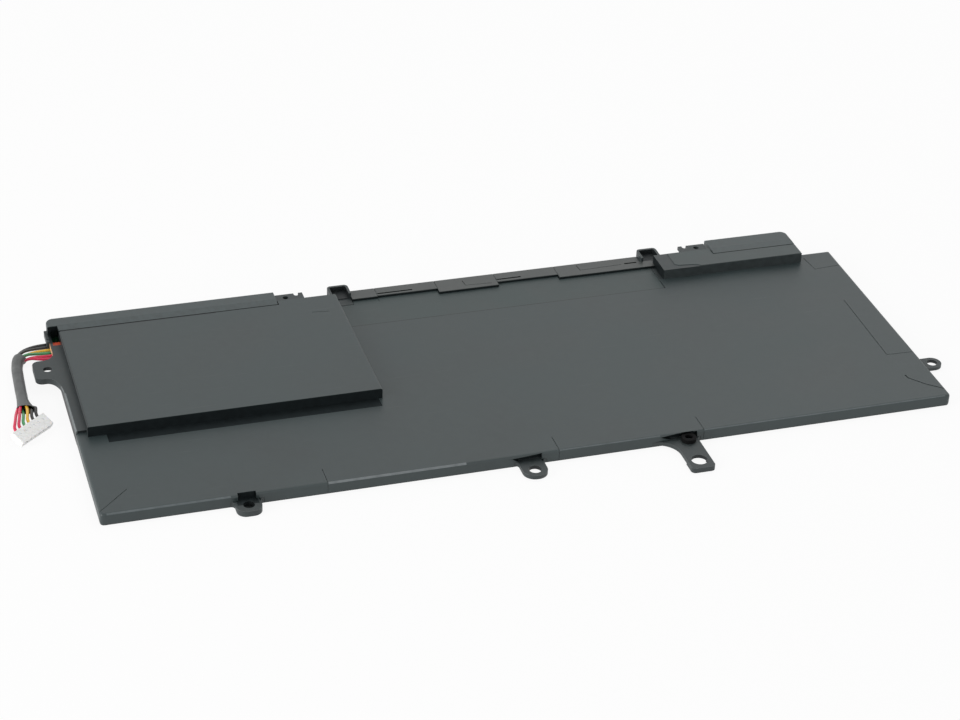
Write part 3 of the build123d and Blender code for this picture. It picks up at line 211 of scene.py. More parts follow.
class StudioSettings(bpy.types.PropertyGroup):
    """Camera and light."""

    focal_length: bpy.props.FloatProperty(
        name="Focal Length", description="Lens, in millimetres, on the sensor's width", default=91.87)
    turn: bpy.props.FloatProperty(
        name="Turn", description="How far the camera looks to the right", default=radians(18.16),
        subtype="ANGLE")
    lift: bpy.props.FloatProperty(
        name="Lift", description="How far the camera looks down", default=radians(31.765),
        subtype="ANGLE")
    roll: bpy.props.FloatProperty(
        name="Roll", description="Lean of the camera", default=radians(2.382), subtype="ANGLE")
    distance: bpy.props.FloatProperty(
        name="Distance", description="From the camera to its target", default=0.80449, unit="LENGTH")
    target: bpy.props.FloatVectorProperty(
        name="Target", description="Point on the floor that the camera looks at",
        default=(-0.00219, 0.00826, 0.0), subtype="XYZ")
    world_light: bpy.props.FloatProperty(
        name="World Light", description="Strength of the even light", default=0.55)
    side_light: bpy.props.FloatProperty(
        name="Side Light", description="Watts of the lamp at the left", default=7.0)
    top_light: bpy.props.FloatProperty(
        name="Top Light", description="Watts of the lamp above", default=3.0)
    front_light: bpy.props.FloatProperty(
        name="Front Light", description="Watts of the weak lamp in front", default=0.8)


# Nodes


def add_node(tree, kind, inputs=None, **settings):
    """A node with its settings, its input values and its incoming links."""
    node = tree.nodes.new(kind)
    for name, value in settings.items():
        setattr(node, name, value)
    for name, value in (inputs or {}).items():
        if isinstance(value, bpy.types.NodeSocket):
            tree.links.new(value, node.inputs[name])
        else:
            node.inputs[name].default_value = value
    return node


def calculate(tree, operation, *values):
    """One arithmetic step on numbers or sockets."""
    return add_node(tree, "ShaderNodeMath", dict(enumerate(values)), operation=operation).outputs[0]


def spread(tree, value, low, high, new_low, new_high):
    """Maps a range onto another, held at its ends."""
    inputs = {"Value": value, "From Min": low, "From Max": high, "To Min": new_low, "To Max": new_high}
    return add_node(tree, "ShaderNodeMapRange", inputs).outputs[0]


def blend_colour(tree, share, first, second):
    """First colour to second colour by a share."""
    mix = add_node(tree, "ShaderNodeMix", data_type="RGBA")
    for socket, value in zip((mix.inputs[0], mix.inputs[6], mix.inputs[7]), (share, first, second)):
        if isinstance(value, bpy.types.NodeSocket):
            tree.links.new(value, socket)
        else:
            socket.default_value = (*value, 1.0) if hasattr(value, "__len__") and len(value) == 3 else value
    return mix.outputs[2]


def new_group(name, inputs, outputs):
    """An empty node group with number sockets, its input node and a function that joins its outputs."""
    group = bpy.data.node_groups.new(name, "ShaderNodeTree")
    for label, value in inputs.items():
        socket = group.interface.new_socket(label, in_out="INPUT", socket_type="NodeSocketFloat")
        socket.default_value = value
    for label in outputs:
        group.interface.new_socket(label, in_out="OUTPUT", socket_type="NodeSocketFloat")
    entry = group.nodes.new("NodeGroupInput")
    leave = group.nodes.new("NodeGroupOutput")
    return group, entry.outputs, leave.inputs


def grain_group():
    """Fine grain of a moulded or rolled surface. Sizes and heights are in millimetres."""
    group, given, made = new_group("Surface Grain", {"Size": 0.2, "Depth": 0.01}, ["Height", "Mottle"])
    place = add_node(group, "ShaderNodeTexCoord").outputs["Object"]
    scale = calculate(group, "DIVIDE", 1 / MM, given["Size"])
    pits = add_node(group, "ShaderNodeTexNoise",
                    {"Vector": place, "Scale": scale, "Detail": 3.0, "Roughness": 0.6})
    broad = calculate(group, "MULTIPLY", scale, 0.13)
    mottle = add_node(group, "ShaderNodeTexNoise", {"Vector": place, "Scale": broad, "Detail": 2.0})
    group.links.new(calculate(group, "MULTIPLY", pits.outputs[0], given["Depth"]), made["Height"])
    group.links.new(mottle.outputs[0], made["Mottle"])
    return group


def ripple_group():
    """Slow waves of a film that is stretched over soft cells. Lengths and heights are in millimetres."""
    group, given, made = new_group("Film Ripple", {"Length": 30.0, "Depth": 0.05}, ["Height", "Shade"])
    place = add_node(group, "ShaderNodeTexCoord").outputs["Object"]
    scale = calculate(group, "DIVIDE", 1 / MM, given["Length"])
    slow = add_node(group, "ShaderNodeTexNoise", {"Vector": place, "Scale": scale, "Detail": 1.0})
    quick = add_node(group, "ShaderNodeTexNoise",
                     {"Vector": place, "Scale": calculate(group, "MULTIPLY", scale, 4.3), "Detail": 2.0})
    lumps = calculate(group, "MULTIPLY_ADD", quick.outputs[0], 0.12, slow.outputs[0])
    group.links.new(calculate(group, "MULTIPLY", lumps, given["Depth"]), made["Height"])
    group.links.new(slow.outputs[0], made["Shade"])
    return group


def wear_group():
    """Where edges are rubbed: how far a rounded normal turns away from the flat one, broken up."""
    group, given, made = new_group("Edge Wear", {"Width": 0.25, "Breakup": 0.5}, ["Mask"])
    place = add_node(group, "ShaderNodeTexCoord").outputs["Object"]
    radius = calculate(group, "MULTIPLY", given["Width"], MM)
    rounded = add_node(group, "ShaderNodeBevel", {"Radius": radius}, samples=4)
    flat = add_node(group, "ShaderNodeNewGeometry").outputs["Normal"]
    turned = add_node(group, "ShaderNodeVectorMath", {0: rounded.outputs[0], 1: flat},
                      operation="DOT_PRODUCT")
    edge = spread(group, turned.outputs["Value"], 0.995, 0.8, 0.0, 1.0)
    patches = add_node(group, "ShaderNodeTexNoise", {"Vector": place, "Scale": 900.0, "Detail": 3.0})
    gaps = calculate(group, "MULTIPLY", patches.outputs[0], given["Breakup"])
    broken = calculate(group, "SUBTRACT", 1.0, gaps)
    group.links.new(calculate(group, "MULTIPLY", edge, broken), made["Mask"])
    return group


def marks_group():
    """Light handling marks: hairline scratches in two directions and a little dust."""
    group, given, made = new_group("Handling Marks", {"Scratches": 0.4, "Dust": 0.3}, ["Mask"])
    place = add_node(group, "ShaderNodeTexCoord").outputs["Object"]
    lines = []
    for angle, seed in ((0.5, 3.0), (-0.9, 11.0)):
        turned = add_node(group, "ShaderNodeMapping",
                          {"Vector": place, "Location": (seed, seed, 0.0), "Rotation": (0.0, 0.0, angle),
                           "Scale": (1.0, 34.0, 1.0)})
        thread = add_node(group, "ShaderNodeTexNoise",
                          {"Vector": turned.outputs[0], "Scale": 52.0, "Detail": 4.0})
        lines.append(spread(group, thread.outputs[0], 0.69, 0.74, 0.0, 1.0))
    scratches = calculate(group, "MULTIPLY", calculate(group, "MAXIMUM", *lines), given["Scratches"])
    specks = add_node(group, "ShaderNodeTexVoronoi", {"Vector": place, "Scale": 520.0, "Randomness": 1.0})
    near = spread(group, specks.outputs["Distance"], 0.10, 0.05, 0.0, 1.0)
    dust = calculate(group, "MULTIPLY", near, given["Dust"])
    patches = add_node(group, "ShaderNodeTexNoise", {"Vector": place, "Scale": 60.0, "Detail": 2.0})
    scarce = calculate(group, "MULTIPLY", dust, spread(group, patches.outputs[0], 0.5, 0.62, 0.0, 1.0))
    group.links.new(calculate(group, "MAXIMUM", scratches, scarce), made["Mask"])
    return group


def zone_group():
    """One inside a box, zero outside it. The six sides are in millimetres."""
    sides = {"Left": 0.0, "Right": 1.0, "Front": 0.0, "Back": 1.0, "Bottom": -1.0, "Top": 20.0}
    group, given, made = new_group("Box Zone", sides, ["Mask"])
    place = add_node(group, "ShaderNodeTexCoord").outputs["Object"]
    split = add_node(group, "ShaderNodeSeparateXYZ", {0: place})
    share = 1.0
    for axis, low, high in ((0, "Left", "Right"), (1, "Front", "Back"), (2, "Bottom", "Top")):
        along = calculate(group, "DIVIDE", split.outputs[axis], MM)
        past_low = calculate(group, "GREATER_THAN", along, given[low])
        short_of_high = calculate(group, "LESS_THAN", along, given[high])
        share = calculate(group, "MULTIPLY", share, calculate(group, "MULTIPLY", past_low, short_of_high))
    group.links.new(share, made["Mask"])
    return group


EFFECTS = {
    "grain": grain_group,
    "ripple": ripple_group,
    "wear": wear_group,
    "marks": marks_group,
    "zone": zone_group,
}
made_groups = {}


def effect(tree, name, **values):
    """Places one of the shared effects in a material with its own values."""
    if name not in made_groups:
        made_groups[name] = EFFECTS[name]()
    node = add_node(tree, "ShaderNodeGroup", node_tree=made_groups[name])
    for label, value in values.items():
        socket = node.inputs[label.title()]
        if isinstance(value, bpy.types.NodeSocket):
            tree.links.new(value, socket)
        else:
            socket.default_value = value
    return node.outputs


def inside(tree, *boxes):
    """One inside any of the boxes, whose sides are millimetres from the pack's corner."""
    share = 0.0
    for left, right, front, back, *heights in boxes:
        bottom, top = heights or (-1.0, 20.0)
        mask = effect(tree, "zone", left=left + PACK_CORNER.x, right=right + PACK_CORNER.x,
                      front=front + PACK_CORNER.y, back=back + PACK_CORNER.y, bottom=bottom, top=top)["Mask"]
        share = calculate(tree, "MAXIMUM", share, mask)
    return share


def blank_material(name, **shader_values):
    """A material with only its Principled shader and output."""
    material = bpy.data.materials.new(name)
    material.use_nodes = True
    tree = material.node_tree
    shader = tree.nodes["Principled BSDF"]
    for label, value in shader_values.items():
        shader.inputs[label.replace("_", " ").title().replace("Ior", "IOR")].default_value = value
    return material, tree, shader


def two_tone(tree, value, low, high, colour, first, second):
    """A colour that goes from its first share to its second as a value goes from low to high."""
    return blend_colour(tree, spread(tree, value, low, high, 0.0, 1.0), scaled(colour, first),
                        scaled(colour, second))


def finish_surface(tree, shader, colour, roughness, height):
    """Feeds the shader its colour and roughness and turns a height in millimetres into a bump."""
    tree.links.new(colour, shader.inputs["Base Color"])
    tree.links.new(roughness, shader.inputs["Roughness"])
    ridges = add_node(tree, "ShaderNodeBump", {"Height": height, "Strength": 1.0, "Distance": MM})
    tree.links.new(ridges.outputs[0], shader.inputs["Normal"])


def film_finish(name, colour, worn, roughness=0.42, depth=0.06, length=30.0, patches=()):
    """Satin polyester film: slow ripples, a faint orange peel, rubbed edges, hairlines, and patches of other
    colour such as painted highlights on the folded edge and painted shade lines.

    Each patch is a colour, the least share of it that shows, and its boxes.
    """
    material, tree, shader = blank_material(name)
    grain = effect(tree, "grain", size=0.35, depth=0.0016)
    ripple = effect(tree, "ripple", length=length, depth=depth)
    rubbed = effect(tree, "wear", width=0.22, breakup=0.45)["Mask"]
    marked = effect(tree, "marks", scratches=0.35, dust=0.25)["Mask"]
    body = two_tone(tree, ripple["Shade"], 0.3, 0.7, colour, 0.86, 1.1)
    paler = spread(tree, grain["Mottle"], 0.35, 0.7, 0.0, 0.25)
    mottled = blend_colour(tree, paler, body, scaled(colour, 1.25))
    edged = blend_colour(tree, calculate(tree, "MULTIPLY", rubbed, 0.14), mottled, worn)
    final = blend_colour(tree, calculate(tree, "MULTIPLY", marked, 0.3), edged, worn)
    for patch_colour, least, boxes in patches:
        uneven = spread(tree, grain["Mottle"], 0.2, 0.6, least, 1.0)
        share = calculate(tree, "MULTIPLY", inside(tree, *boxes), uneven)
        final = blend_colour(tree, share, final, patch_colour)
    gloss = spread(tree, ripple["Shade"], 0.3, 0.7, roughness - 0.04, roughness + 0.05)
    gloss = calculate(tree, "MULTIPLY_ADD", marked, 0.12, gloss)
    height = calculate(tree, "ADD", grain["Height"], ripple["Height"])
    finish_surface(tree, shader, final, gloss, height)
    return material


def moulded_finish(name, colour, worn, size, patches, roughness=0.5):
    """Moulded plastic with a spark-eroded grain and paler rubbed edges.

    Each patch is a colour, its share of metal, how much rougher it is, how much of the grain's relief it
    keeps, and its boxes. A share of metal in a dark colour takes the plastic's pale sheen away.
    """
    material, tree, shader = blank_material(name)
    grain = effect(tree, "grain", size=size, depth=0.012)
    rubbed = effect(tree, "wear", width=0.2, breakup=0.6)["Mask"]
    marked = effect(tree, "marks", scratches=0.25, dust=0.35)["Mask"]
    body = two_tone(tree, grain["Mottle"], 0.35, 0.65, colour, 0.84, 1.14)
    edged = blend_colour(tree, calculate(tree, "MULTIPLY", rubbed, 0.5), body, worn)
    final = blend_colour(tree, calculate(tree, "MULTIPLY", marked, 0.25), edged, worn)
    gloss = spread(tree, grain["Mottle"], 0.3, 0.7, roughness - 0.05, roughness + 0.07)
    height = grain["Height"]
    metal = 0.0
    # Each patch paints its colour over the plastic, such as painted shade or a painted highlight
    for patch_colour, metal_share, rougher, relief, boxes in patches:
        share = inside(tree, *boxes)
        toned = two_tone(tree, grain["Mottle"], 0.35, 0.65, patch_colour, 0.9, 1.15)
        final = blend_colour(tree, share, final, toned)
        metal = calculate(tree, "MAXIMUM", metal, calculate(tree, "MULTIPLY", share, metal_share))
        gloss = calculate(tree, "MULTIPLY_ADD", share, rougher, gloss)
        flattened = calculate(tree, "MULTIPLY_ADD", share, relief - 1.0, 1.0)
        height = calculate(tree, "MULTIPLY", height, flattened)
    tree.links.new(metal, shader.inputs["Metallic"])
    finish_surface(tree, shader, final, gloss, height)
    return material


def soft_finish(name, colour, roughness=0.6, size=0.12, depth=0.008, **shader_values):
    """Rubber, nylon, insulation and the like: a fine even grain with a slow change of tone."""
    material, tree, shader = blank_material(name, **shader_values)
    grain = effect(tree, "grain", size=size, depth=depth)
    marked = effect(tree, "marks", scratches=0.2, dust=0.2)["Mask"]
    body = two_tone(tree, grain["Mottle"], 0.3, 0.7, colour, 0.9, 1.08)
    gloss = spread(tree, grain["Mottle"], 0.3, 0.7, roughness - 0.05, roughness + 0.05)
    finish_surface(tree, shader, body, calculate(tree, "MULTIPLY_ADD", marked, 0.1, gloss), grain["Height"])
    return material


def metal_finish(name, colour, roughness=0.3, stretch=(1.0, 14.0, 1.0), depth=0.002):
    """Rolled or plated metal with drawn lines and a few dull patches."""
    material, tree, shader = blank_material(name, metallic=1.0)
    place = add_node(tree, "ShaderNodeTexCoord").outputs["Object"]
    drawn = add_node(tree, "ShaderNodeMapping", {"Vector": place, "Scale": stretch})
    lines = add_node(tree, "ShaderNodeTexNoise", {"Vector": drawn.outputs[0], "Scale": 700.0, "Detail": 4.0})
    grain = effect(tree, "grain", size=0.5, depth=depth)
    body = two_tone(tree, grain["Mottle"], 0.35, 0.7, colour, 1.0, 0.72)
    gloss = spread(tree, lines.outputs[0], 0.3, 0.7, roughness - 0.07, roughness + 0.14)
    height = calculate(tree, "MULTIPLY_ADD", lines.outputs[0], depth, grain["Height"])
    finish_surface(tree, shader, body, gloss, height)
    return material


def board_finish(name, mask_colour, trace_colour):
    """Solder mask over copper: straight tracks in two directions under a glossy green coat."""
    material, tree, shader = blank_material(name, coat_weight=0.4)
    place = add_node(tree, "ShaderNodeTexCoord").outputs["Object"]
    tracks = add_node(tree, "ShaderNodeTexBrick",
                      {"Vector": place, "Scale": 260.0, "Mortar Size": 0.05, "Brick Width": 3.2,
                       "Row Height": 0.32, "Color1": (0, 0, 0, 1), "Color2": (0, 0, 0, 1),
                       "Mortar": (1, 1, 1, 1)})
    grain = effect(tree, "grain", size=0.3, depth=0.004)
    body = blend_colour(tree, tracks.outputs["Color"], mask_colour, trace_colour)
    gloss = spread(tree, grain["Mottle"], 0.3, 0.7, 0.26, 0.4)
    height = calculate(tree, "MULTIPLY_ADD", tracks.outputs["Fac"], 0.02, grain["Height"])
    finish_surface(tree, shader, body, gloss, height)
    return material


def dress(material, *names):
    """Gives CAD nodes a material in their own slots."""
    for name in names:
        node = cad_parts[name]
        for slot in node.material_slots:
            slot.link = "OBJECT"
            slot.material = material


# Lead

WIRES = (  # name, CAD node, material slot and place round the bundle in degrees
    ("lead_red_a", "wire_red_a", "red", 180),
    ("lead_red_b", "wire_red_b", "red", 240),
    ("lead_green", "wire_green", "green", 120),
    ("lead_yellow", "wire_yellow", "yellow", 300),
    ("lead_black_a", "wire_black_a", "black", 60),
    ("lead_black_b", "wire_black_b", "black", 0),
)

# Stations of the lead in millimetres from the pack's corner: place of the middle, direction of
# the row of wires, pitch of the row, radius of the bundle and how far the bundle has rolled
STATIONS = (
    (1.9, 97.0, 2.1, 90, 1.8, 0, 0),
    (-2.2, 97.0, 2.1, 90, 1.8, 0, 0),
    (-5.4, 96.8, 2.3, 98, 1.45, 0.2, 0),
    (-8.2, 96.0, 2.5, 118, 0.8, 0.7, 0),
    (-11.0, 93.4, 2.4, 148, 0, 1.15, 0),
    (-12.0, 89.4, 2.0, 170, 0, 1.1, 36),
    (-12.3, 84.8, 1.92, 175, 0, 1.1, 72),
    (-12.5, 79.8, 1.9, 176, 0, 1.1, 108),
    (-12.7, 74.0, 1.92, 177, 0, 1.1, 144),
    (-12.9, 68.4, 2.0, 181, 0, 1.1, 180),
    (-13.0, 64.6, 2.5, 192, -0.6, 0.8, 180),
    (-13.1, 61.6, 3.2, 206, -1.25, 0.4, 180),
    (-13.3, 59.0, 3.9, 220.5, -1.9, 0, 180),
)
# The plug, in millimetres: its corner on the table, and from there the row's middle, the face that the
# wires enter and the row's height, then the row's pitch and the wires' way into the plug and before it
PLUG_CORNER = Vector((-16.8, 46.7, 0))
PLUG_MIDDLE = 7.1
PLUG_DEPTH = 4.6
PLUG_ROW_HEIGHT = 1.2
PLUG_PITCH = 2.0
WIRE_SEAT = 1.5
WIRE_LEAD = 0.9
PLUG_TURN = radians(40.5)
PLUG_TILT = radians(28.0)
PLUG_ACROSS = Vector((cos(PLUG_TURN), sin(PLUG_TURN), 0))
PLUG_FORWARD = Vector((sin(PLUG_TURN) * cos(PLUG_TILT), -cos(PLUG_TURN) * cos(PLUG_TILT), -sin(PLUG_TILT)))
PLUG_UP = Vector((sin(PLUG_TURN) * sin(PLUG_TILT), -cos(PLUG_TURN) * sin(PLUG_TILT), cos(PLUG_TILT)))
WIRE_FACE = (PACK_CORNER + PLUG_CORNER + PLUG_ACROSS * PLUG_MIDDLE - PLUG_FORWARD * PLUG_DEPTH
             + PLUG_UP * PLUG_ROW_HEIGHT)
CURVE_STEPS = 12  # straight pieces between two control points of a curve

# The sleeve: its first and last station with how far it goes on to the next one, the share of its length
# over which the mouth narrows and after which the lower end flares, and the sizes of both in metres
SLEEVE_FIRST = 3
SLEEVE_FIRST_SHARE = 0.75
SLEEVE_LAST = 10
SLEEVE_LAST_SHARE = 0.4
SLEEVE_SIDES = 28
MOUTH_SHARE = 0.2
MOUTH_SLANT = 0.0006
FLARE_START = 0.78
FLARE_WIDER = 0.0012
FLARE_LOWER = 0.00025
FLARE_SHIFT = 0.00045
FLARE_SLANT = 0.0010


def wire_points(lane, place):
    """Control points of one wire, from its solder joint to its seat in the plug, in metres."""
    side = lane - (len(WIRES) - 1) / 2
    points = []
    for x, y, z, row, pitch, ring, roll in STATIONS:
        across = Vector((cos(radians(row)), sin(radians(row)), 0))
        turn = radians(place + roll)
        shift = across * (side * pitch + ring * cos(turn)) + Vector((0, 0, ring * sin(turn)))
        points.append((PACK_CORNER + Vector((x, y, z)) + shift) * MM)
    entry = WIRE_FACE + PLUG_ACROSS * side * PLUG_PITCH
    points.append((entry - PLUG_FORWARD * WIRE_LEAD) * MM)
    points.append((entry + PLUG_FORWARD * WIRE_SEAT) * MM)
    return points


def nurbs_curve(name, points):
    """A curve object of one smooth NURBS spline through the control polygon's ends."""
    curve = bpy.data.curves.new(name, "CURVE")
    curve.dimensions = "3D"
    spline = curve.splines.new("NURBS")
    spline.points.add(len(points) - 1)
    for control, point in zip(spline.points, points):
        control.co = (*point, 1.0)
    spline.order_u = 3
    spline.use_endpoint_u = True
    spline.resolution_u = CURVE_STEPS
    curve.resolution_u = CURVE_STEPS
    made = bpy.data.objects.new(name, curve)
    bpy.context.scene.collection.objects.link(made)
    return made


def route_line(points):
    """Points along the NURBS line, as Blender evaluates it."""
    guide = nurbs_curve("guide", points)
    bpy.context.view_layer.update()
    mesh = bpy.data.meshes.new_from_object(guide)
    line = [vertex.co.copy() for vertex in mesh.vertices]
    bpy.data.meshes.remove(mesh)
    bpy.data.objects.remove(guide)
    return line


def line_length(points):
    """Length of a line through points."""
    return sum((after - before).length for before, after in zip(points, points[1:]))


def new_piece(name, bm, material, smooth=True):
    """A mesh object that rides on the pack."""
    mesh = bpy.data.meshes.new(name)
    bm.normal_update()
    bm.to_mesh(mesh)
    bm.free()
    for polygon in mesh.polygons:
        polygon.use_smooth = smooth
    piece = bpy.data.objects.new(name, mesh)
    bpy.context.scene.collection.objects.link(piece)
    mesh.materials.append(material)
    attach(piece, "root")
    return piece


def root_web(name, corner, along, outward, sunk, heights, material):
    """The concave web between a side of the pack and an ear: a quarter ellipse from the side to the ear."""
    foot = [start + side for start, side in zip(corner, along)]
    tip = [start + out for start, out in zip(corner, outward)]
    into_side = (sunk[0], 0.0) if outward[0] else (0.0, sunk[1])
    into_ear = (0.0, sunk[1]) if outward[0] else (sunk[0], 0.0)
    outline = [[foot[0] + into_side[0], foot[1] + into_side[1]]]
    for i in range(WEB_STEPS + 1):
        turn = pi / 2 * i / WEB_STEPS
        outline.append([start + (1 - sin(turn)) * side + (1 - cos(turn)) * out
                        for start, side, out in zip(corner, along, outward)])
    outline.append([tip[0] + into_ear[0], tip[1] + into_ear[1]])
    outline.append([corner[0] + into_side[0] + into_ear[0], corner[1] + into_side[1] + into_ear[1]])
    bm = bmesh.new()
    rims = [[bm.verts.new(spot(x, y, height)) for x, y in outline] for height in heights]
    count = len(outline)
    for k in range(count):
        bm.faces.new((rims[0][k], rims[0][(k + 1) % count], rims[1][(k + 1) % count], rims[1][k]))
    for rim in rims:
        bm.faces.new(rim)
    bmesh.ops.recalc_face_normals(bm, faces=bm.faces)
    new_piece(name, bm, material, smooth=False)


def insulation_finish(name, colour):
    """Soft insulation with a low gloss under a thin clear coat."""
    return soft_finish(name, colour, roughness=0.36, size=0.16, depth=0.006, coat_weight=0.15)


def sleeve_finish(name, colour):
    """Soft tubing: matt, a little paler where it is stretched over the wires."""
    material, tree, shader = blank_material(name)
    grain = effect(tree, "grain", size=0.18, depth=0.006)
    ripple = effect(tree, "ripple", length=3.2, depth=0.1)
    rubbed = effect(tree, "wear", width=0.15, breakup=0.3)["Mask"]
    body = two_tone(tree, ripple["Shade"], 0.3, 0.7, colour, 0.84, 1.16)
    final = blend_colour(tree, calculate(tree, "MULTIPLY", rubbed, 0.5), body, scaled(colour, 1.6))
    gloss = spread(tree, grain["Mottle"], 0.3, 0.7, 0.42, 0.54)
    finish_surface(tree, shader, final, gloss, calculate(tree, "ADD", grain["Height"], ripple["Height"]))
    return material


def build_sleeve(lead, material):
    """A tube round the bundle: an oblique mouth at the top, soft creases and a flared lower end."""
    middles = [spot(*station[:3]) for station in STATIONS]
    upper = middles[SLEEVE_FIRST].lerp(middles[SLEEVE_FIRST + 1], SLEEVE_FIRST_SHARE)
    lower = middles[SLEEVE_LAST].lerp(middles[SLEEVE_LAST + 1], SLEEVE_LAST_SHARE)
    line = route_line([upper, *middles[SLEEVE_FIRST + 1:SLEEVE_LAST + 1], lower])
    total = line_length(line)
    sides = SLEEVE_SIDES
    bm = bmesh.new()
    shells = []
    for inset in (0.0, lead.sleeve_wall):
        rings = []
        run = 0.0
        for i, point in enumerate(line):
            before, after = line[max(0, i - 1)], line[min(len(line) - 1, i + 1)]
            way = (after - before).normalized()
            across = way.cross(Vector((0, 0, 1))).normalized()
            up = across.cross(way)
            run += (point - before).length
            share = run / total
            mouth = max(0.0, 1.0 - share / MOUTH_SHARE) ** 2
            flare = max(0.0, (share - FLARE_START) / (1.0 - FLARE_START)) ** 1.6
            radius = lead.sleeve_radius + (lead.sleeve_mouth - lead.sleeve_radius) * mouth
            wide = radius + FLARE_WIDER * flare
            high = radius - FLARE_LOWER * flare
            shifted = point - across * FLARE_SHIFT * flare
            ring = []
            for k in range(sides):
                angle = 2 * pi * k / sides
                crease = sin(3 * angle + 9 * share) * sin(17 * share) + 0.5 * sin(5 * angle - 21 * share)
                reach = 1.0 - inset / wide + lead.crease_depth / wide * crease * 0.5
                slant = way * cos(angle) * (MOUTH_SLANT * mouth - FLARE_SLANT * flare)
                ring.append(bm.verts.new(
                    shifted + across * wide * reach * cos(angle) + up * high * reach * sin(angle) + slant))
            rings.append(ring)
        shells.append(rings)
    for rings, turned in zip(shells, (False, True)):
        for near, far in zip(rings, rings[1:]):
            for k in range(sides):
                face = (near[k], near[(k + 1) % sides], far[(k + 1) % sides], far[k])
                bm.faces.new(face[::-1] if turned else face)
    ends = ((shells[0][0], shells[1][0], True), (shells[0][-1], shells[1][-1], False))
    for outer, inner, turned in ends:
        for k in range(sides):
            face = (outer[k], outer[(k + 1) % sides], inner[(k + 1) % sides], inner[k])
            bm.faces.new(face[::-1] if turned else face)
    bmesh.ops.recalc_face_normals(bm, faces=bm.faces)
    return new_piece("sleeve", bm, material)


class BATTERY_OT_finish_plug(bpy.types.Operator):
    """Give the plug its nylon and its contacts their plating"""

    bl_idname = "battery.finish_plug"
    bl_label = "Finish Plug"

    def execute(self, context):
        shell = context.scene.battery_shell
        nylon = soft_finish("white_nylon", list(shell.plug), roughness=0.42, size=0.1, depth=0.004,
                            subsurface_weight=0.15)
        nylon.node_tree.nodes["Principled BSDF"].inputs["Subsurface Radius"].default_value = (
            0.0006, 0.0005, 0.0004)
        dress(nylon, "plug_housing")
        dress(metal_finish("tinned_contact", tint(196, 194, 188), roughness=0.28), "plug_contacts")
        return {"FINISHED"}


class BATTERY_OT_build_lead(bpy.types.Operator):
    """Build the six wires and the sleeve over them"""

    bl_idname = "battery.build_lead"
    bl_label = "Build Lead"

    def execute(self, context):
        lead = context.scene.battery_lead
        finishes = {name: insulation_finish("insulation_" + name, list(getattr(lead, name)))
                    for name in ("red", "green", "yellow", "black")}
        sleeve = build_sleeve(lead, sleeve_finish("sleeve_tubing", list(lead.sleeve)))
        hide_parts("lead_sleeve")
        for lane, (name, node, colour, place) in enumerate(WIRES):
            points = wire_points(lane, place)
            wire = nurbs_curve(name, points)
            wire.data.bevel_depth = lead.wire_diameter / 2
            wire.data.bevel_resolution = 3
            wire.data.use_fill_caps = True
            wire.data.materials.append(finishes[colour])
            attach(wire, "root")
            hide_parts(node)
            length = line_length(route_line(points))
        return {"FINISHED"}


# Shell, cells and board

CELLS = ("cell_left_a", "cell_left_b", "cell_upper", "cell_right_a", "cell_right_b", "cell_right_c")


class BATTERY_OT_finish_films(bpy.types.Operator):
    """Give the films and tapes over the pack their satin surface"""

    bl_idname = "battery.finish_films"
    bl_label = "Finish Films"

    def execute(self, context):
        shell = context.scene.battery_shell
        worn = list(shell.worn_edge)
        length = shell.ripple_length / MM
        dark = list(shell.bare_floor_and_shade)
        # Painted highlights where the film is folded over the front edge, and a painted shade line along its
        # seam
        fold_highlights_and_seam_shade = ((FOLD_HIGHLIGHT, 0.5, FOLD_HIGHLIGHT_BOXES), (FAINT_FOLD_HIGHLIGHT, 0.5, FAINT_FOLD_HIGHLIGHT_BOXES),
                 (dark, 0.6, FILM_SEAM_SHADE_BOXES))
        # Painted shade line along the recess's front edge
        line = ((dark, 0.8, RECESS_SHADE_BOXES),)
        pale = ((tint(236, 190, 150), 1.0, SHEET_BOXES),)
        main_film = film_finish("satin_film", list(shell.film), worn, length=length, patches=fold_highlights_and_seam_shade)
        dress(main_film, "top_film", "plateau_film")
        dress(film_finish("recess_film", list(shell.recess_film), worn, depth=0.09, length=12.0,
                          roughness=0.46, patches=line), "recess_film")
        for name, colour, node in (("ledge_tape", shell.ledge_tape, "ledge_tapes"),
                                   ("block_film", shell.recess_film, "block_film")):
            dress(film_finish(name, list(colour), worn, depth=0.05, length=9.0, roughness=0.4), node)
        dress(film_finish("under_film", list(shell.moulding), worn, length=length), "bottom_film")
        dress(film_finish("amber_tape", list(shell.tape), tint(232, 150, 70), roughness=0.3, length=6.0,
                          patches=pale), "insulating_tape")
        return {"FINISHED"}


class BATTERY_OT_finish_mouldings(bpy.types.Operator):
    """Give the frame, the covers and the rubber ring their surfaces"""

    bl_idname = "battery.finish_mouldings"
    bl_label = "Finish Mouldings"

    def execute(self, context):
        shell = context.scene.battery_shell
        size = shell.grain_size / MM
        worn = list(shell.worn_edge)
        black = list(shell.bare_floor_and_shade)
        shaded = list(shell.shaded_wall)
        # Patches over the plastic: the bare black floor strip, painted shade in seams, notches, cavities and
        # under the ledge, painted shade on upright walls and in holes, and a painted highlight along the left
        # side
        patches = (
            (black, 0.68, 0.15, 0.0, FLOOR_BOXES),
            (black, 0.6, 0.0, 0.3, NOTCH_AND_SEAM_SHADE_BOXES),
            (shaded, 0.2, 0.0, 1.0, SHADED_WALL_BOXES),
            (SIDE_HIGHLIGHT, 0.0, 0.0, 1.0, SIDE_HIGHLIGHT_BOXES),
        )
        plastic = moulded_finish("moulded_frame", list(shell.moulding), worn, size, patches)
        dress(plastic, "frame")
        for web in ROOT_WEBS:
            root_web(*web, plastic)
        # Painted shade at the covers' seams and ends
        cover_shade_patches = ((black, 0.6, 0.0, 0.3, COVER_SHADE_BOXES),)
        dress(moulded_finish("moulded_cover", list(shell.cover), worn, size, cover_shade_patches, roughness=0.46),
              "board_cover", "end_cover")
        dress(soft_finish("ring_rubber", list(shell.rubber), roughness=0.75, specular_ior_level=0.12),
              "ear_grommet")
        return {"FINISHED"}


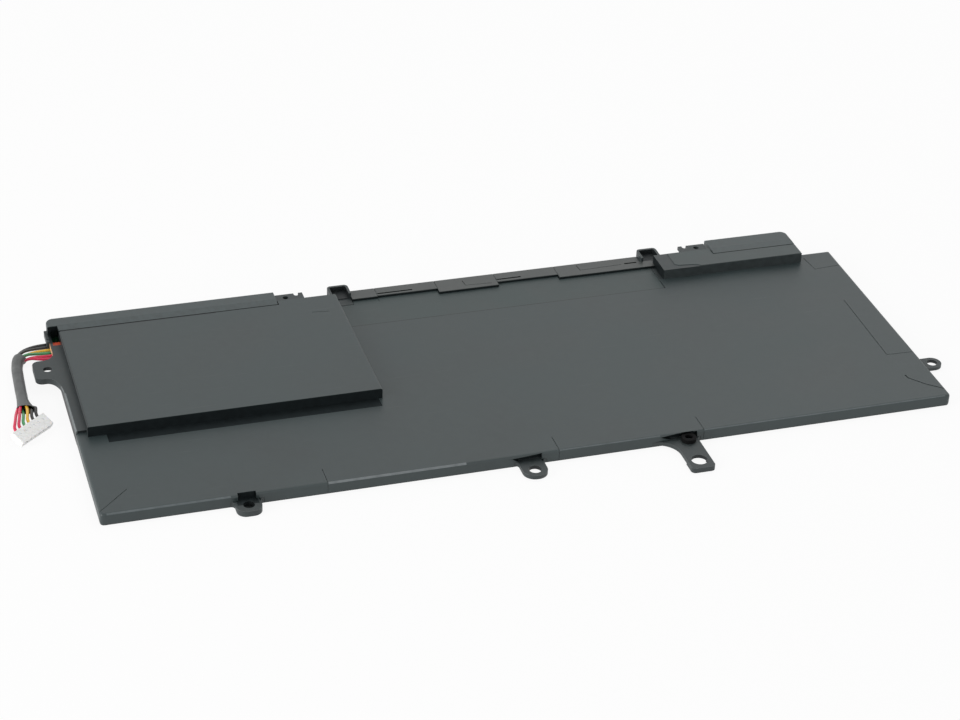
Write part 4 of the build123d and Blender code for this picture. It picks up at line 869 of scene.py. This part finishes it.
class BATTERY_OT_finish_cells(bpy.types.Operator):
    """Give the cells, their tabs and the strips between them plain, true surfaces"""

    bl_idname = "battery.finish_cells"
    bl_label = "Finish Cells"

    def execute(self, context):
        dress(film_finish("pouch_laminate", tint(150, 152, 154), tint(206, 208, 210), roughness=0.36,
                          depth=0.12, length=14.0), *CELLS)
        dress(metal_finish("aluminium_tab", tint(202, 204, 206), roughness=0.26), "cell_tabs_plus")
        dress(metal_finish("nickel_strip", tint(186, 184, 176)), "cell_tabs_minus", "link_strips")
        dress(soft_finish("cell_adhesive", tint(214, 208, 190), roughness=0.5, size=0.4, depth=0.02),
              "cell_adhesive")
        return {"FINISHED"}


class BATTERY_OT_finish_board(bpy.types.Operator):
    """Give the protection board and its parts their surfaces"""

    bl_idname = "battery.finish_board"
    bl_label = "Finish Board"

    def execute(self, context):
        dress(board_finish("board_laminate", tint(22, 74, 46), tint(44, 112, 66)), "protection_board")
        dress(soft_finish("chip_mould", tint(34, 34, 36), roughness=0.55), "gauge_chip", "power_transistors",
              "sense_resistor")
        dress(soft_finish("fuse_body", tint(226, 222, 210), roughness=0.4), "board_fuse")
        dress(soft_finish("ceramic_body", tint(166, 132, 96), roughness=0.5), "capacitors")
        dress(metal_finish("solder", tint(190, 192, 194), roughness=0.24, stretch=(1.0, 1.0, 1.0),
                           depth=0.004), "solder_joints")
        return {"FINISHED"}


# Studio

WHITE = (1.0, 1.0, 1.0, 1.0)
FLOOR_REACH = 3.0  # from the middle to each side, in metres
FLOOR_DROP = 0.1  # below the pack, in millimetres
FLOOR_COLOUR = (0.95, 0.95, 0.95, 1.0)
FLOOR_WHITE_SHARE = 0.9  # the rest keeps the pack's shadow
SENSOR_WIDTH = 36.0
NEAREST = 0.05  # what the camera sees, in metres
FARTHEST = 20.0
LAMPS = (  # name, place and side in metres, and its setting. Each looks at the middle of the pack
    ("side_lamp", (-1.0, -0.2, 0.24), 0.7, "side_light"),
    ("top_lamp", (0.5, 0.3, 1.05), 1.0, "top_light"),
    ("front_lamp", (0.25, -1.2, 0.3), 0.8, "front_light"),
)


def background_share(tree):
    """One for the rays that should see a white background: camera, glossy and transmission."""
    path = add_node(tree, "ShaderNodeLightPath").outputs
    seen = calculate(tree, "MAXIMUM", path["Is Camera Ray"], path["Is Glossy Ray"])
    return calculate(tree, "MAXIMUM", seen, path["Is Transmission Ray"])


def light_world(strength):
    """An even light that shows as white behind the pack."""
    world = bpy.data.worlds.new("studio")
    world.use_nodes = True
    tree = world.node_tree
    tree.nodes.clear()
    even = add_node(tree, "ShaderNodeBackground", {"Color": WHITE, "Strength": strength})
    white = add_node(tree, "ShaderNodeBackground", {"Color": WHITE, "Strength": 1.0})
    mix = add_node(tree, "ShaderNodeMixShader",
                   {0: background_share(tree), 1: even.outputs[0], 2: white.outputs[0]})
    add_node(tree, "ShaderNodeOutputWorld", {"Surface": mix.outputs[0]})
    bpy.context.scene.world = world


def build_floor():
    """A pale floor that keeps a soft shadow and otherwise shows white."""
    bm = bmesh.new()
    bmesh.ops.create_grid(bm, x_segments=4, y_segments=4, size=FLOOR_REACH)
    bmesh.ops.translate(bm, verts=bm.verts, vec=(0, 0, -FLOOR_DROP * MM))
    mesh = bpy.data.meshes.new("floor")
    bm.to_mesh(mesh)
    bm.free()
    floor = bpy.data.objects.new("floor", mesh)
    bpy.context.scene.collection.objects.link(floor)
    material, tree, shader = blank_material("pale_floor")
    shader.inputs["Base Color"].default_value = FLOOR_COLOUR
    shader.inputs["Roughness"].default_value = 0.9
    shader.inputs["Specular IOR Level"].default_value = 0.0
    white = add_node(tree, "ShaderNodeEmission", {"Color": WHITE, "Strength": 1.0})
    share = calculate(tree, "MULTIPLY", background_share(tree), FLOOR_WHITE_SHARE)
    mix = add_node(tree, "ShaderNodeMixShader", {0: share, 1: shader.outputs[0], 2: white.outputs[0]})
    tree.links.new(mix.outputs[0], tree.nodes["Material Output"].inputs["Surface"])
    mesh.materials.append(material)


def hang_lamp(name, place, size, watts):
    """A square lamp that looks at the middle of the pack."""
    light = bpy.data.lights.new(name, "AREA")
    light.shape = "SQUARE"
    light.size = size
    light.energy = watts
    lamp = bpy.data.objects.new(name, light)
    lamp.location = place
    lamp.rotation_euler = (-Vector(place)).to_track_quat("-Z", "Y").to_euler()
    bpy.context.scene.collection.objects.link(lamp)


def aim_camera(studio):
    """The camera at the photographed angle."""
    turn, lift, roll = studio.turn, studio.lift, studio.roll
    forward = Vector((sin(turn) * cos(lift), cos(turn) * cos(lift), -sin(lift)))
    level = Vector((cos(turn), -sin(turn), 0.0))
    upright = level.cross(forward)
    right = level * cos(roll) + upright * sin(roll)
    up = upright * cos(roll) - level * sin(roll)
    place = Vector(studio.target) - forward * studio.distance
    data = bpy.data.cameras.new("camera")
    data.lens = studio.focal_length
    data.sensor_fit = "HORIZONTAL"
    data.sensor_width = SENSOR_WIDTH
    data.clip_start = NEAREST
    data.clip_end = FARTHEST
    camera = bpy.data.objects.new("camera", data)
    bpy.context.scene.collection.objects.link(camera)
    columns = (right, up, -forward, place)
    camera.matrix_world = Matrix([[column[row] for column in columns] for row in range(3)] + [[0, 0, 0, 1]])
    bpy.context.scene.camera = camera


class BATTERY_OT_build_studio(bpy.types.Operator):
    """Build the floor, the lamps, the world and the camera"""

    bl_idname = "battery.build_studio"
    bl_label = "Build Studio"

    def execute(self, context):
        studio = context.scene.battery_studio
        context.scene.view_settings.view_transform = "Standard"
        light_world(studio.world_light)
        build_floor()
        for name, place, size, setting in LAMPS:
            hang_lamp(name, place, size, getattr(studio, setting))
        aim_camera(studio)
        return {"FINISHED"}


class BATTERY_PT_dresser(bpy.types.Panel):
    """Lists the steps and what may be changed"""

    bl_idname = "BATTERY_PT_dresser"
    bl_label = "Battery Pack"
    bl_space_type = "VIEW_3D"
    bl_region_type = "UI"
    bl_category = "Battery"

    def draw(self, context):
        layout = self.layout
        for setting in SETTINGS:
            group = getattr(context.scene, setting)
            box = layout.box()
            for name in group.bl_rna.properties.keys():
                if name not in ("rna_type", "name"):
                    box.prop(group, name)
        for step in STEPS:
            layout.operator(step.bl_idname)


STEPS = (
    BATTERY_OT_build_studio,
    BATTERY_OT_build_lead,
    BATTERY_OT_finish_plug,
    BATTERY_OT_finish_films,
    BATTERY_OT_finish_mouldings,
    BATTERY_OT_finish_cells,
    BATTERY_OT_finish_board,
)
SETTINGS = {"battery_lead": LeadSettings, "battery_shell": ShellSettings, "battery_studio": StudioSettings}


def register():
    for cls in (*SETTINGS.values(), *STEPS, BATTERY_PT_dresser):
        bpy.utils.register_class(cls)
    for name, cls in SETTINGS.items():
        setattr(bpy.types.Scene, name, bpy.props.PointerProperty(type=cls))


def unregister():
    for name in SETTINGS:
        delattr(bpy.types.Scene, name)
    for cls in (BATTERY_PT_dresser, *reversed(STEPS), *SETTINGS.values()):
        bpy.utils.unregister_class(cls)


def main():
    register()
    for step in STEPS:
        area, name = step.bl_idname.split(".")
        getattr(getattr(bpy.ops, area), name)()


if __name__ == "__main__":
    main()
